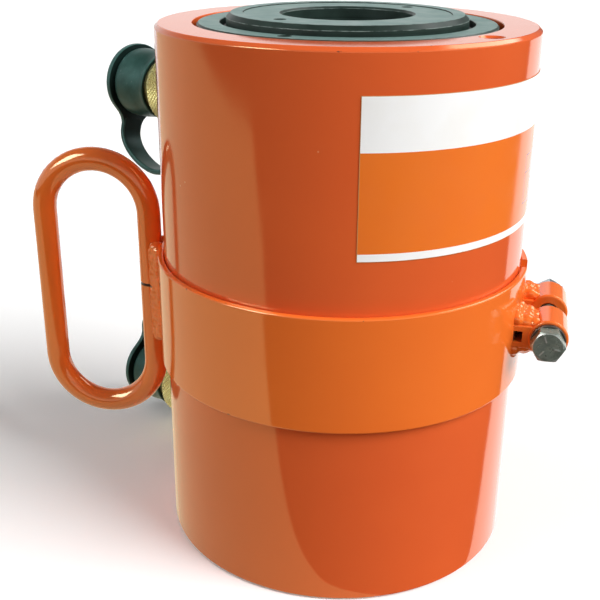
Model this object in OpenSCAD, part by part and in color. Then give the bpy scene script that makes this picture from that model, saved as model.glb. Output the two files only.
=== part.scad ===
// Hollow plunger hydraulic cylinder, double acting, with a clamped carrying band.
// Millimetres. The base stands on Z = 0, the plunger moves along +Z,
// the carrying handle points along -X and the label faces -Y.

/* [Cylinder body] */
// Wall of the body round the bore that the piston runs in
body_wall = 19.05; // [16:0.05:30]
// Thickness of the base under the piston
base_t = 20; // [19:0.5:40]
// Chamfer on the body's top edge
top_chamfer = 1.5; // [0.5:0.1:4]
// Chamfer on the body's bottom edge
bottom_chamfer = 0.8; // [0.3:0.1:3]
// Depth of the open ring round the gland at the top
top_ring_depth = 9; // [4:0.5:12]
// Width of the open ring beyond the gland's thread
top_ring_w = 1.5; // [0.8:0.1:3]
// Distance of the lifting hole's middle in from the body's side
lift_hole_in = 8.5; // [6.5:0.1:9]
// Direction of the lifting hole in the top face
lift_hole_turn = -36; // [-180:1:180]
// Diameter of the lifting hole's thread
lift_hole_d = 8.5; // [6:0.1:9]
// Depth of the lifting hole
lift_hole_depth = 22; // [12:1:40]

/* [Centre sleeve] */
// Diameter of the hole right through the middle
hole_d = 54; // [46:0.5:56]
// Wall of the sleeve that the plunger slides on
sleeve_wall = 7.925; // [5:0.025:12]
// Section diameter of the static seal between the sleeve and the base
sleeve_seal_d = 3; // [2:0.1:4]
// Height of that seal above the floor
sleeve_seal_z = 9; // [7:0.5:12]

/* [Plunger] */
// Gap between the sleeve and the plunger's tube above the piston
sleeve_gap = 2.075; // [1:0.025:5]
// Wall of the plunger's tube
plunger_wall = 13; // [11:0.1:20]
// Gap between the plunger and the body's bore, filled with oil
oil_gap = 10.325; // [8.5:0.025:20]
// Travel of the plunger
stroke = 127; // [60:1:220]
// Length of the piston head
piston_len = 34; // [32:0.5:60]
// Height of the plunger's end above the body's top face
plunger_proud = 3.7; // [2:0.1:12]
// Chamfer on the plunger's top edge
plunger_chamfer = 1.9; // [0.5:0.1:2.4]
// Length of the piston's narrow foot, which lets the oil in under it
foot_len = 8; // [5:0.5:10]
// Distance that the narrow foot is set in from the piston's side
foot_in = 6; // [3:0.1:12]

/* [Saddle insert] */
// Width of the shoulder in the plunger that the insert seats on
saddle_step = 6; // [3:0.1:8]
// Thickness of the insert
saddle_t = 19.6; // [12:0.2:26]
// Depth of the insert's face below the plunger's rim
saddle_recess = 0.4; // [0:0.1:1]
// Play of the insert's hole round the sleeve's hole, on the diameter
saddle_hole_extra = 0.4; // [0.2:0.1:1]
// Distance of the insert's spanner holes in from its rim
saddle_pin_in = 5.5; // [4:0.1:9]
// Diameter of the insert's spanner holes
saddle_pin_d = 4.6; // [3:0.1:5]
// Depth of the insert's spanner holes
saddle_pin_depth = 7; // [4:0.5:9]
// Direction of the first of the insert's spanner holes
saddle_pin_turn = -129; // [-180:1:180]

/* [Gland] */
// Height of the thread that holds the gland, beyond the bore's wall
gland_thread_step = 3.175; // [2:0.025:6]
// Distance that the gland's top is set in from its thread
gland_top_in = 1.4; // [0.5:0.1:4]
// Length of that thread
gland_thread_len = 16.5; // [10:0.5:24]
// Length of the smooth pilot under the thread
gland_pilot_len = 12; // [9:0.5:20]
// Length of the stop skirt under the pilot
gland_skirt_len = 11.4; // [10:0.1:16]
// Wall of the stop skirt
gland_skirt_wall = 6.15; // [4:0.05:7]
// Distance of the gland's spanner holes in from its rim
gland_pin_in = 6.2; // [4:0.1:6.5]
// Diameter of the gland's spanner holes
gland_pin_d = 5; // [3:0.1:5.4]
// Depth of the gland's spanner holes
gland_pin_depth = 8; // [4:0.5:9]
// Direction of the first of the gland's spanner holes
gland_pin_turn = -109; // [-180:1:180]
// Number of oil slots in the stop skirt
skirt_slots = 6; // [3:1:10]
// Width of an oil slot
slot_w = 8; // [4:0.5:12]
// Height of an oil slot
slot_h = 5; // [3:0.5:8]

/* [Seals and bearings] */
// Thickness of the guide ring in the gland
gland_bearing_t = 2.5; // [1.5:0.1:3]
// Height of the guide ring in the gland
gland_bearing_h = 10; // [6:0.5:11]
// Thickness of the pressure seal on the plunger
rod_seal_t = 5.5; // [4:0.1:6]
// Height of the pressure seal on the plunger
rod_seal_h = 6.6; // [5:0.1:7]
// Thickness of the wiper
wiper_t = 2.5; // [1.5:0.1:2.6]
// Height of the wiper
wiper_h = 5.4; // [4:0.1:7]
// Section diameter of the gland's static seal
gland_seal_d = 3.2; // [2.4:0.1:4]
// Thickness of the piston's seal
piston_seal_t = 5.4; // [4:0.1:6]
// Height of the piston's seal
piston_seal_h = 5.5; // [4:0.1:6]
// Height of the piston's backup ring
piston_backup_h = 2.5; // [1.5:0.1:3]
// Thickness of the piston's guide ring
piston_bearing_t = 2.7; // [2:0.1:4]
// Height of the piston's guide ring
piston_bearing_h = 6.5; // [4:0.1:7]
// Thickness of the seal on the sleeve
inner_seal_t = 4.2; // [3:0.1:5]
// Height of the seal on the sleeve
inner_seal_h = 6; // [4:0.1:7]
// Thickness of the guide ring on the sleeve
inner_bearing_t = 2.4; // [1.5:0.1:3]
// Height of the guide ring on the sleeve
inner_bearing_h = 7; // [4:0.1:8]

/* [Carrying band] */
// Height of the band's middle above the floor
band_mid_z = 106.8; // [95:0.5:118]
// Height of the band
band_h = 49; // [30:0.5:60]
// Thickness of the band
band_t = 2.7; // [1.5:0.1:5]
// Play between the band and the body
band_play = 0.3; // [0.1:0.05:0.5]
// Length of band that stands past each lug into the split
band_past_lug = 0.9; // [0:0.1:4]

/* [Carrying handle] */
// Diameter of the handle's round bar
handle_bar_d = 10.8; // [8:0.1:14]
// Distance between the handle's two straight legs, centre to centre
handle_w = 49.5; // [40:0.5:80]
// Height of the handle, centre to centre of its ends
handle_h = 122.2; // [100:0.5:140]
// Distance between the handle's bar and the band, filled by weld
handle_stand_off = 1.2; // [0.3:0.1:2]
// Open butt joint between the bar's two ends
handle_butt = 1.2; // [0.4:0.1:3]
// Height of that joint above the band's middle
handle_butt_up = 3.2; // [-10:0.2:10]
// Radius of the weld beads on the handle
handle_bead_r = 3; // [2.5:0.1:4]

/* [Clamp lugs] */
// Direction of the band's split and of the lugs
lug_turn = -5.6; // [-20:0.1:20]
// Diameter of a lug's barrel
lug_d = 16.8; // [15:0.1:20]
// Length of a lug's barrel
lug_len = 18.5; // [14:0.5:26]
// Gap between the two lugs
lug_gap = 11.8; // [9:0.1:20]
// Distance between a lug's barrel and the band's crown
lug_stand_off = 2.6; // [0.3:0.1:3]
// Width of the foot that joins a barrel to the band
lug_foot_w = 10; // [6:0.5:13]
// Height of the open space left in the middle of the foot
lug_void_w = 5; // [2:0.5:6]
// Distance that the open space reaches out past the band's crown
lug_void_out = 0.3; // [0.1:0.1:2]
// Radius of the weld beads at a lug's foot
lug_bead_r = 2.4; // [1.5:0.1:3]
// Diameter of the clamp bolt
bolt_d = 7.9; // [7:0.1:9]
// Play of the bolt in a lug, on the diameter
bolt_play = 0.8; // [0.4:0.1:1.2]
// Width across the flats of the bolt's head and of the nut
bolt_flats = 12.7; // [11:0.1:15]
// Height of the bolt's head
bolt_head_h = 5.8; // [5:0.1:8]
// Thickness of the nut
nut_t = 6.8; // [6:0.1:10]
// Turn of the nut on the bolt
nut_turn = 30; // [0:1:60]
// Thickness of the lock washer
washer_t = 2.3; // [1.2:0.1:3]
// Outside diameter of the lock washer
washer_d = 14.6; // [13:0.1:16]
// Length of bolt that stands out of the nut
bolt_tail = 3; // [1:0.5:10]

/* [Couplers] */
// Direction in which both couplers point
port_turn = 143.8; // [120:0.1:160]
// Height of the lower port above the piston's floor
lower_port_up = 4; // [3:0.1:6]
// Height of the upper port above the stop skirt's end
upper_port_up = 6.9; // [5:0.1:8]
// Diameter of the port's thread
port_d = 17; // [14:0.1:18]
// Metal left between the port's thread and the bore
port_web = 5.6; // [3:0.1:9]
// Diameter of the oil passages
passage_d = 5; // [3:0.1:6]
// Width across the flats of the coupler's hexagon
hex_flats = 25.4; // [22:0.1:28]
// Thickness of the coupler's hexagon
hex_t = 7; // [5:0.5:10]
// Distance that the neck, where the strap's eye sits, is set in from the barrel
neck_in = 1; // [0.5:0.1:2]
// Length of the coupler's neck
neck_len = 5; // [4:0.1:8]
// Diameter of the coupler's barrel, which the collar turns on
barrel_d = 26; // [22:0.1:32]
// Length of the coupler's barrel
barrel_len = 22; // [20:0.5:30]
// Wall of the knurled part of the collar
collar_wall = 5.2; // [3:0.1:8]
// Length of the knurled part of the collar past the barrel's end
collar_past = 3; // [1:0.1:8]
// Wall of the collar's plain nose, which the dust cap grips
nose_wall = 2.6; // [1.5:0.1:4]
// Length of the collar's plain nose
nose_len = 19; // [14:0.5:26]
// Width of the shoulder inside the collar, which stops on the barrel's end
collar_step = 1.4; // [0.8:0.1:3]
// Wall of the barrel round the seat
barrel_wall = 4; // [2.5:0.1:5]
// Width of the shoulder that the seat is screwed against
seat_step = 1.5; // [0.8:0.1:2.5]
// Thickness of the seat
seat_t = 10; // [8:0.5:12]
// Width of the seat that the poppet closes on
seat_lap = 2.4; // [1.5:0.1:3]
// Travel of the poppet
poppet_travel = 4; // [2:0.5:5]
// Room for oil round the poppet's head
poppet_play = 0.7; // [0.4:0.1:1]
// Wire diameter of the poppet's spring
spring_wire = 1.2; // [0.8:0.1:1.6]
// Number of turns of the poppet's spring
spring_turns = 5; // [3:1:6]

/* [Dust caps and straps] */
// Distance between the collar's knurl and the cap's mouth
cap_gap = 5.5; // [2:0.1:7]
// Wall of the cap at its mouth
cap_wall = 2.1; // [1.5:0.1:4]
// Height that the cap's body swells to next to its flange
cap_swell = 0.75; // [0.2:0.05:2]
// Height of the cap's flange above its body
cap_rim = 1.7; // [1:0.1:4]
// Thickness of the cap's flange
cap_flange_t = 2.8; // [2:0.1:5]
// Thickness of the cap's end behind the collar's nose, up to the flange
cap_end_t = 9; // [6:0.1:14]
// Width of the strap
strap_w = 12; // [8:0.5:16]
// Thickness of the strap
strap_t = 2.6; // [1.5:0.1:3]
// Depth of the strap's loop below the cap's middle
strap_drop = 43; // [38:0.1:52]
// Distance of the loop's lowest point out from the middle of its span
strap_low_out = -1; // [-8:0.5:8]
// Length over which the loop turns at its lowest point
strap_bend = 10; // [6:0.5:20]
// Length over which the strap leaves the cap's flange
strap_root = 10.5; // [4:0.5:12]
// Length of the flange's tongue past its rim
tongue_len = 6; // [4:0.5:8]
// Turn of the upper cap and strap about the coupler, away from hanging straight down
upper_strap_turn = 14; // [-30:1:30]
// Turn of the lower cap and strap about the coupler, away from standing straight up
lower_strap_turn = 0; // [-30:1:30]
// Thickness of the strap's eye on the coupler's neck
eye_t = 2.4; // [1.5:0.1:3]
// Wall of the strap's eye
eye_wall = 4; // [2:0.1:6]

/* [Label] */
// Direction of the label's left edge
label_turn = -81; // [-180:1:180]
// Width of the label along the curve
label_w = 152; // [80:1:200]
// Height of the label
label_h = 61.1; // [30:0.5:66]
// Distance of the label's upper edge below the body's top
label_down = 16.3; // [6:0.1:30]
// Thickness of the label
label_t = 0.2; // [0.1:0.05:0.5]
// Thickness of the glue under the label
label_glue = 0.05; // [0.02:0.01:0.2]

/* [Fits] */
// Running fit between sliding or turning pieces, on the radius
run_fit = 0.05; // [0.02:0.01:0.08]
// Free room between pieces that must not touch, on the radius
clear = 0.35; // [0.3:0.05:0.4]
// Gap left at the plunger's two end stops
stop_gap = 0.3; // [0.1:0.1:0.6]

/* [Hidden] */
$fn = 96;

// A cut reaches this far past the face that it opens
cut = 1;

// Heights along the plunger's axis, from the floor up
piston_z = base_t + stop_gap;
piston_top_z = piston_z + piston_len;
skirt_z = piston_top_z + stroke + stop_gap;
pilot_z = skirt_z + gland_skirt_len;
thread_z = pilot_z + gland_pilot_len;
top_ring_z = thread_z + gland_thread_len;
body_h = top_ring_z + top_ring_depth;
plunger_top_z = body_h + plunger_proud;
saddle_top_z = plunger_top_z - saddle_recess;
saddle_z = saddle_top_z - saddle_t;
sleeve_top_z = saddle_z - 3;

// Radii of the main bodies, from the middle out
hole_r = hole_d / 2;
sleeve_r = hole_r + sleeve_wall;
plunger_bore_r = sleeve_r + sleeve_gap;
plunger_r = plunger_bore_r + plunger_wall;
bore_r = plunger_r + oil_gap;
body_r = bore_r + body_wall;
saddle_r = plunger_bore_r + saddle_step;
gland_thread_r = bore_r + gland_thread_step;
gland_top_r = gland_thread_r - gland_top_in;
top_ring_r = gland_thread_r + top_ring_w;
rod_hole_r = plunger_r + clear;
piston_r = bore_r - clear;
piston_hole_r = sleeve_r + clear;
gland_skirt_r = rod_hole_r + gland_skirt_wall;
foot_r = piston_r - foot_in;

// Heights of the grooves in the piston, from its foot up
piston_seal_z = piston_z + foot_len + 3.5;
piston_groove_h = piston_seal_h + piston_backup_h;
piston_bearing_z = piston_seal_z + piston_groove_h + 3;
inner_seal_z = piston_z + 10;
inner_bearing_z = inner_seal_z + inner_seal_h + 4;

// Heights of the grooves in the gland
gland_bearing_z = pilot_z - 2;
gland_seal_z = pilot_z + gland_pilot_len / 2;
rod_seal_z = thread_z + 2;
wiper_z = body_h - wiper_h - 0.6;

// The band and what is welded to it
band_inner_r = body_r + band_play;
band_r = band_inner_r + band_t;
band_z = band_mid_z - band_h / 2;
band_split = lug_gap - 2 * band_past_lug;
handle_r = band_r + handle_stand_off + handle_bar_d / 2;
handle_leg_h = handle_h - handle_w;
butt_z = band_mid_z + handle_butt_up;
lug_r = band_r + lug_stand_off + lug_d / 2;
lug_end = lug_gap / 2 + lug_len;

// Radii of a coupler's pieces, from its barrel in and out
barrel_r = barrel_d / 2;
neck_r = barrel_r - neck_in;
seat_r = barrel_r - barrel_wall;
chamber_r = seat_r - seat_step;
poppet_r = chamber_r - poppet_play;
seat_hole_r = poppet_r - seat_lap;
collar_r = barrel_r + collar_wall;
collar_thread_r = barrel_r - collar_step;
nose_r = collar_thread_r + nose_wall;
eye_r = neck_r + eye_wall;
cap_mouth_r = nose_r + run_fit + cap_wall;
cap_body_r = cap_mouth_r + cap_swell;
cap_flange_r = cap_body_r + cap_rim;

// The ports, and stations along a coupler's axis from the body's axis outwards
hex_corner_r = hex_flats / 2 / cos(30);
spot_r = hex_corner_r + 0.4;
lower_port_z = base_t + lower_port_up;
upper_port_z = skirt_z + upper_port_up;
face_s = sqrt(body_r * body_r - spot_r * spot_r);
port_s = bore_r + port_web;
neck_s = face_s + hex_t;
barrel_s = neck_s + neck_len;
barrel_end_s = barrel_s + barrel_len;
collar_s = barrel_s + 0.2;
knurl_end_s = barrel_end_s + collar_past;
nose_end_s = knurl_end_s + nose_len;
collar_step_s = barrel_end_s + stop_gap;
seat_s = barrel_end_s - seat_t;
chamber_s = face_s + 4;
ring_s = barrel_s + 1.2;
ring_t = 1.4;
collar_recess = 3;

// The poppet, closed against its seat
poppet_skirt_len = 4.4;
poppet_cone_len = 2.3;
poppet_tip_s = seat_s - 0.3;
poppet_s = poppet_tip_s - poppet_cone_len - poppet_skirt_len;
poppet_tail_len = poppet_s - chamber_s - poppet_travel - 1;

// The dust cap and its strap
cap_mouth_s = knurl_end_s + cap_gap;
cap_floor_s = nose_end_s + clear;
flange_s = cap_floor_s + cap_end_t;
cap_end_s = flange_s + cap_flange_t;
tab_drop = cap_flange_r + tongue_len;
eye_s = neck_s + 0.3;
eye_mid_s = eye_s + eye_t / 2;
eye_mid_r = (neck_r + eye_r) / 2;
strap_low_s = (eye_mid_s + cap_end_s) / 2 + strap_low_out;
strap_start_s = cap_end_s - strap_t / 2;
strap_outer = [
    [strap_start_s, -tab_drop - clear],
    [strap_start_s, -tab_drop - clear - strap_root],
    [strap_low_s + strap_bend, -strap_drop],
    [strap_low_s, -strap_drop],
];
strap_inner = [
    [strap_low_s, -strap_drop],
    [strap_low_s - strap_bend, -strap_drop],
    [eye_mid_s, -strap_drop + strap_root],
    [eye_mid_s, -eye_mid_r],
];
strap_steps = 14;

// Finishes
orange = [0.86, 0.36, 0.12];
steel = [0.52, 0.56, 0.55];
black_steel = [0.16, 0.18, 0.18];
zinc = [0.75, 0.75, 0.72];
brass = [0.74, 0.68, 0.40];
rubber_green = [0.10, 0.16, 0.14];
seal_black = [0.08, 0.08, 0.09];
bronze = [0.62, 0.45, 0.22];

// A straight ring between two heights
module ring(outer_r, inner_r, z0, z1) {
    difference() {
        translate([0, 0, z0])
            cylinder(r = outer_r, h = z1 - z0);
        translate([0, 0, z0 - cut])
            cylinder(r = inner_r, h = z1 - z0 + 2 * cut);
    }
}

// A straight round bar or hole between two heights
module post(r, z0, z1) {
    translate([0, 0, z0])
        cylinder(r = r, h = z1 - z0);
}

// A round sealing ring of one section diameter
module o_ring(mid_r, section_d, z) {
    translate([0, 0, z])
        rotate_extrude()
            translate([mid_r, 0])
                circle(d = section_d, $fn = 32);
}

// Turns a piece so that its own +Z runs out along a coupler's axis
module at_port(z) {
    rotate([0, 0, port_turn])
        translate([0, 0, z])
            rotate([0, 90, 0])
                children();
}

// Turns a flat outline, drawn outwards and upwards, into a plane through a coupler's axis.
// roll turns that plane about the axis
module in_port_plane(z, width, roll) {
    rotate([0, 0, port_turn])
        translate([0, 0, z])
            rotate([90 + roll, 0, 0])
                linear_extrude(height = width, center = true)
                    children();
}

// Places a piece in the clamp bolt's frame: +X outwards, +Y along the bolt to its nut
module at_lugs() {
    rotate([0, 0, lug_turn])
        translate([0, 0, band_mid_z])
            children();
}

// A straight round piece along the clamp bolt
module bolt_post(r, y0, y1, sides = 96, turn = 0) {
    translate([lug_r, y0, 0])
        rotate([-90, 0, 0])
            rotate([0, 0, turn])
                cylinder(r = r, h = y1 - y0, $fn = sides);
}

// Port: flat seat for the hexagon, thread and oil passage into the bore
module port_cut(z, reach_r) {
    at_port(z) {
        post(spot_r, face_s, body_r + cut);
        post(port_d / 2, port_s, body_r + cut);
        post(passage_d / 2, reach_r, body_r);
    }
}

module lift_hole_cut() {
    mouth_d = lift_hole_d + 1.6;
    rotate([0, 0, lift_hole_turn])
        translate([body_r - lift_hole_in, 0, 0]) {
            post(lift_hole_d / 2, body_h - lift_hole_depth, body_h + cut);
            translate([0, 0, body_h - 0.8])
                cylinder(d1 = lift_hole_d, d2 = mouth_d + 2 * cut, h = 0.8 + cut);
        }
}

module cylinder_body() {
    color(orange)
        difference() {
            rotate_extrude($fn = 192)
                polygon([
                    [0, 0],
                    [body_r - bottom_chamfer, 0],
                    [body_r, bottom_chamfer],
                    [body_r, body_h - top_chamfer],
                    [body_r - top_chamfer, body_h],
                    [0, body_h],
                ]);
            post(sleeve_r + run_fit, -cut, base_t + cut);
            post(sleeve_r + run_fit + sleeve_seal_d + 0.1, sleeve_seal_z - sleeve_seal_d / 2 - 0.1,
                sleeve_seal_z + sleeve_seal_d / 2 + 0.1);
            post(bore_r, base_t, body_h + cut);
            post(gland_thread_r, thread_z, body_h + cut);
            post(top_ring_r, top_ring_z, body_h + cut);
            port_cut(lower_port_z, bore_r - 4);
            port_cut(upper_port_z, bore_r - 4);
            lift_hole_cut();
        }
}

module center_sleeve() {
    color(steel)
        ring(sleeve_r, hole_r, 0, sleeve_top_z);
}

module sleeve_seal() {
    color(seal_black)
        o_ring(sleeve_r + run_fit + sleeve_seal_d / 2, sleeve_seal_d, sleeve_seal_z);
}

module gland_pin_cut() {
    for (turn = [0, 180])
        rotate([0, 0, gland_pin_turn + turn])
            translate([gland_top_r - gland_pin_in, 0, 0])
                post(gland_pin_d / 2, body_h - gland_pin_depth, body_h + cut);
}

module skirt_slot_cut() {
    for (i = [0 : skirt_slots - 1])
        rotate([0, 0, port_turn + i * 360 / skirt_slots])
            translate([plunger_r - cut, -slot_w / 2, skirt_z - cut])
                cube([gland_skirt_r - plunger_r + 2 * cut, slot_w, slot_h + cut]);
}

module gland_nut() {
    edge = 0.8;
    pilot_r = bore_r - run_fit;
    color(black_steel)
        difference() {
            rotate_extrude($fn = 192)
                polygon([
                    [rod_hole_r, skirt_z],
                    [gland_skirt_r, skirt_z],
                    [gland_skirt_r, pilot_z],
                    [pilot_r, pilot_z],
                    [pilot_r, thread_z],
                    [gland_thread_r - run_fit, thread_z],
                    [gland_thread_r - run_fit, top_ring_z],
                    [gland_top_r, top_ring_z],
                    [gland_top_r, body_h - edge],
                    [gland_top_r - edge, body_h],
                    [rod_hole_r, body_h],
                ]);
            post(plunger_r + run_fit + gland_bearing_t + 0.05, gland_bearing_z,
                gland_bearing_z + gland_bearing_h);
            post(plunger_r + run_fit + rod_seal_t + 0.05, rod_seal_z, rod_seal_z + rod_seal_h);
            post(plunger_r + run_fit + wiper_t + 0.05, wiper_z, body_h + cut);
            ring(bore_r + cut, pilot_r - gland_seal_d, gland_seal_z - gland_seal_d / 2 - 0.1,
                gland_seal_z + gland_seal_d / 2 + 0.1);
            gland_pin_cut();
            skirt_slot_cut();
        }
}

module gland_bearing() {
    color(bronze)
        ring(plunger_r + run_fit + gland_bearing_t, plunger_r + run_fit, gland_bearing_z,
            gland_bearing_z + gland_bearing_h);
}

module rod_seal() {
    color(seal_black)
        ring(plunger_r + run_fit + rod_seal_t, plunger_r + run_fit, rod_seal_z,
            rod_seal_z + rod_seal_h);
}

module rod_wiper() {
    lip_r = plunger_r + run_fit;
    back_r = lip_r + wiper_t;
    color(seal_black)
        rotate_extrude($fn = 192)
            polygon([
                [lip_r, wiper_z],
                [back_r, wiper_z],
                [back_r, wiper_z + wiper_h * 0.75],
                [lip_r + wiper_t * 0.3, wiper_z + wiper_h],
                [lip_r, wiper_z + wiper_h],
            ]);
}

module gland_seal() {
    color(seal_black)
        o_ring(bore_r - run_fit - gland_seal_d / 2, gland_seal_d - 0.05, gland_seal_z);
}

module plunger() {
    color(black_steel)
        difference() {
            rotate_extrude($fn = 192)
                polygon([
                    [piston_hole_r, piston_z],
                    [foot_r, piston_z],
                    [foot_r, piston_z + foot_len],
                    [piston_r, piston_z + foot_len],
                    [piston_r, piston_top_z],
                    [plunger_r, piston_top_z],
                    [plunger_r, plunger_top_z - plunger_chamfer],
                    [plunger_r - plunger_chamfer, plunger_top_z],
                    [saddle_r, plunger_top_z],
                    [saddle_r, saddle_z],
                    [plunger_bore_r, saddle_z],
                    [plunger_bore_r, piston_top_z],
                    [piston_hole_r, piston_top_z],
                ]);
            ring(bore_r + cut, bore_r - run_fit - piston_seal_t - 0.05, piston_seal_z,
                piston_seal_z + piston_groove_h);
            ring(bore_r + cut, bore_r - run_fit - piston_bearing_t - 0.05, piston_bearing_z,
                piston_bearing_z + piston_bearing_h);
            post(sleeve_r + run_fit + inner_seal_t + 0.05, inner_seal_z, inner_seal_z + inner_seal_h);
            post(sleeve_r + run_fit + inner_bearing_t + 0.05, inner_bearing_z,
                inner_bearing_z + inner_bearing_h);
        }
}

module saddle_insert() {
    edge = 0.8;
    mouth_r = hole_r + saddle_hole_extra / 2;
    color(black_steel)
        difference() {
            rotate_extrude($fn = 192)
                polygon([
                    [mouth_r, saddle_z],
                    [saddle_r - run_fit, saddle_z],
                    [saddle_r - run_fit, saddle_top_z],
                    [mouth_r + edge, saddle_top_z],
                    [mouth_r, saddle_top_z - edge],
                ]);
            for (turn = [0, 180])
                rotate([0, 0, saddle_pin_turn + turn])
                    translate([saddle_r - saddle_pin_in, 0, 0])
                        post(saddle_pin_d / 2, saddle_top_z - saddle_pin_depth, saddle_top_z + cut);
        }
}

module piston_seal() {
    color(seal_black)
        ring(bore_r - run_fit, bore_r - run_fit - piston_seal_t, piston_seal_z,
            piston_seal_z + piston_seal_h);
}

module piston_backup() {
    color(zinc)
        ring(bore_r - run_fit, bore_r - run_fit - piston_seal_t, piston_seal_z + piston_seal_h,
            piston_seal_z + piston_groove_h);
}

module piston_bearing() {
    color(bronze)
        ring(bore_r - run_fit, bore_r - run_fit - piston_bearing_t, piston_bearing_z,
            piston_bearing_z + piston_bearing_h);
}

module inner_seal() {
    color(seal_black)
        ring(sleeve_r + run_fit + inner_seal_t, sleeve_r + run_fit, inner_seal_z,
            inner_seal_z + inner_seal_h);
}

module inner_bearing() {
    color(bronze)
        ring(sleeve_r + run_fit + inner_bearing_t, sleeve_r + run_fit, inner_bearing_z,
            inner_bearing_z + inner_bearing_h);
}

module carry_band() {
    color(orange)
        difference() {
            ring(band_r, band_inner_r, band_z, band_z + band_h);
            rotate([0, 0, lug_turn])
                translate([body_r / 2, -band_split / 2, band_z - cut])
                    cube([body_r, band_split, band_h + 2 * cut]);
        }
}

// One straight leg of the handle, at a distance outwards from the body's axis
module handle_leg(x, z0, z1) {
    translate([x, 0, 0])
        post(handle_bar_d / 2, z0, z1);
}

// One rounded end of the handle: up is 1 for the top and -1 for the bottom
module handle_end(up) {
    translate([handle_r + handle_w / 2, 0, band_mid_z + up * handle_leg_h / 2])
        rotate([up * 90, 0, 0])
            rotate_extrude(angle = 180)
                translate([handle_w / 2, 0])
                    circle(d = handle_bar_d, $fn = 48);
}

module carry_handle() {
    low_z = band_mid_z - handle_leg_h / 2;
    high_z = band_mid_z + handle_leg_h / 2;
    color(orange)
        rotate([0, 0, 180]) {
            handle_leg(handle_r, low_z, butt_z - handle_butt / 2);
            handle_leg(handle_r, butt_z + handle_butt / 2, high_z);
            handle_leg(handle_r + handle_w, low_z, high_z);
            handle_end(1);
            handle_end(-1);
        }
}

module handle_weld() {
    bead_x = band_r + handle_bead_r * 0.55;
    bead_y = handle_bar_d / 2 * 0.86;
    margin = 1;
    color(orange)
        difference() {
            rotate([0, 0, 180])
                for (side = [-1, 1])
                    translate([bead_x, side * bead_y, 0])
                        post(handle_bead_r, band_z + margin, band_z + band_h - margin);
            post(band_r, band_z - cut, band_z + band_h + cut);
            rotate([0, 0, 180])
                handle_leg(handle_r, band_z - cut, band_z + band_h + cut);
        }
}

// One lug: side is -1 for the front one and 1 for the rear one
module lug(side) {
    near = min(side * lug_gap / 2, side * lug_end);
    void_top_r = band_r + lug_void_out;
    difference() {
        at_lugs() {
            bolt_post(lug_d / 2, near, near + lug_len);
            translate([band_r - band_t * 2, near, -lug_foot_w / 2])
                cube([lug_r - band_r + band_t * 2, lug_len, lug_foot_w]);
        }
        at_lugs()
            bolt_post((bolt_d + bolt_play) / 2, near - cut, near + lug_len + cut);
        at_lugs()
            translate([band_r / 2, near - cut, -lug_void_w / 2])
                cube([void_top_r - band_r / 2, lug_len + 2 * cut, lug_void_w]);
        post(band_r, band_z - cut, band_z + band_h + cut);
    }
}

module front_lug() {
    color(orange)
        lug(-1);
}

module rear_lug() {
    color(orange)
        lug(1);
}

// Fillet beads on the band, along the upper and lower edge of each lug's foot
module lug_weld() {
    start = asin((lug_gap / 2 + 1) / band_r);
    sweep = asin((lug_end - 1) / band_r) - start;
    color(orange)
        difference() {
            at_lugs()
                for (side = [-1, 1], up = [-1, 1])
                    rotate([0, 0, side > 0 ? start : -start - sweep])
                        translate([0, 0, up * lug_foot_w / 2])
                            rotate_extrude(angle = sweep)
                                translate([band_r, 0])
                                    circle(r = lug_bead_r, $fn = 32);
            post(band_r, band_z - cut, band_z + band_h + cut);
            at_lugs() {
                bolt_post(lug_d / 2, -lug_end - cut, lug_end + cut);
                translate([band_r - band_t * 2, -lug_end - cut, -lug_foot_w / 2])
                    cube([lug_r - band_r + band_t * 2, 2 * (lug_end + cut), lug_foot_w]);
            }
        }
}

module clamp_bolt() {
    head_y = -lug_end - washer_t;
    corner_r = bolt_flats / 2 / cos(30);
    color(zinc)
        at_lugs() {
            bolt_post(corner_r, head_y - bolt_head_h, head_y, 6);
            bolt_post(bolt_d / 2, head_y - cut, lug_end + nut_t + bolt_tail);
        }
}

module lock_washer() {
    slit = 1.2;
    color(black_steel)
        at_lugs()
            difference() {
                bolt_post(washer_d / 2, -lug_end - washer_t, -lug_end);
                bolt_post(bolt_d / 2 + run_fit, -lug_end - washer_t - cut, -lug_end + cut);
                translate([lug_r - slit / 2, -lug_end - washer_t - cut, 0])
                    cube([slit, washer_t + 2 * cut, washer_d]);
            }
}

module clamp_nut() {
    corner_r = bolt_flats / 2 / cos(30);
    color(zinc)
        at_lugs()
            difference() {
                bolt_post(corner_r, lug_end, lug_end + nut_t, 6, nut_turn);
                bolt_post(bolt_d / 2 + run_fit, lug_end - cut, lug_end + nut_t + cut);
            }
}

module rating_label() {
    sweep = label_w / body_r * 180 / PI;
    color([0.93, 0.93, 0.90])
        rotate([0, 0, label_turn])
            rotate_extrude(angle = sweep, $fn = 192)
                translate([body_r + label_glue, body_h - label_down - label_h])
                    square([label_t, label_h]);
}

module coupler_body(z) {
    color(zinc)
        at_port(z)
            difference() {
                union() {
                    post(port_d / 2 - run_fit, port_s, face_s);
                    translate([0, 0, face_s])
                        cylinder(r = hex_corner_r, h = hex_t, $fn = 6);
                    post(neck_r, neck_s, barrel_s);
                    post(barrel_r, barrel_s, barrel_end_s);
                }
                post(passage_d / 2, port_s - cut, chamber_s + cut);
                post(chamber_r, chamber_s, seat_s + cut);
                post(seat_r, seat_s, barrel_end_s + cut);
                ring(barrel_d, neck_r, ring_s, ring_s + ring_t);
            }
}

module coupler_seat(z) {
    groove_mid_r = (seat_r + seat_hole_r) / 2;
    groove_w = 2;
    color(steel)
        at_port(z)
            difference() {
                ring(seat_r - run_fit, seat_hole_r, seat_s, barrel_end_s);
                ring(groove_mid_r + groove_w / 2, groove_mid_r - groove_w / 2,
                    barrel_end_s - 1.8, barrel_end_s + cut);
            }
}

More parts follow.
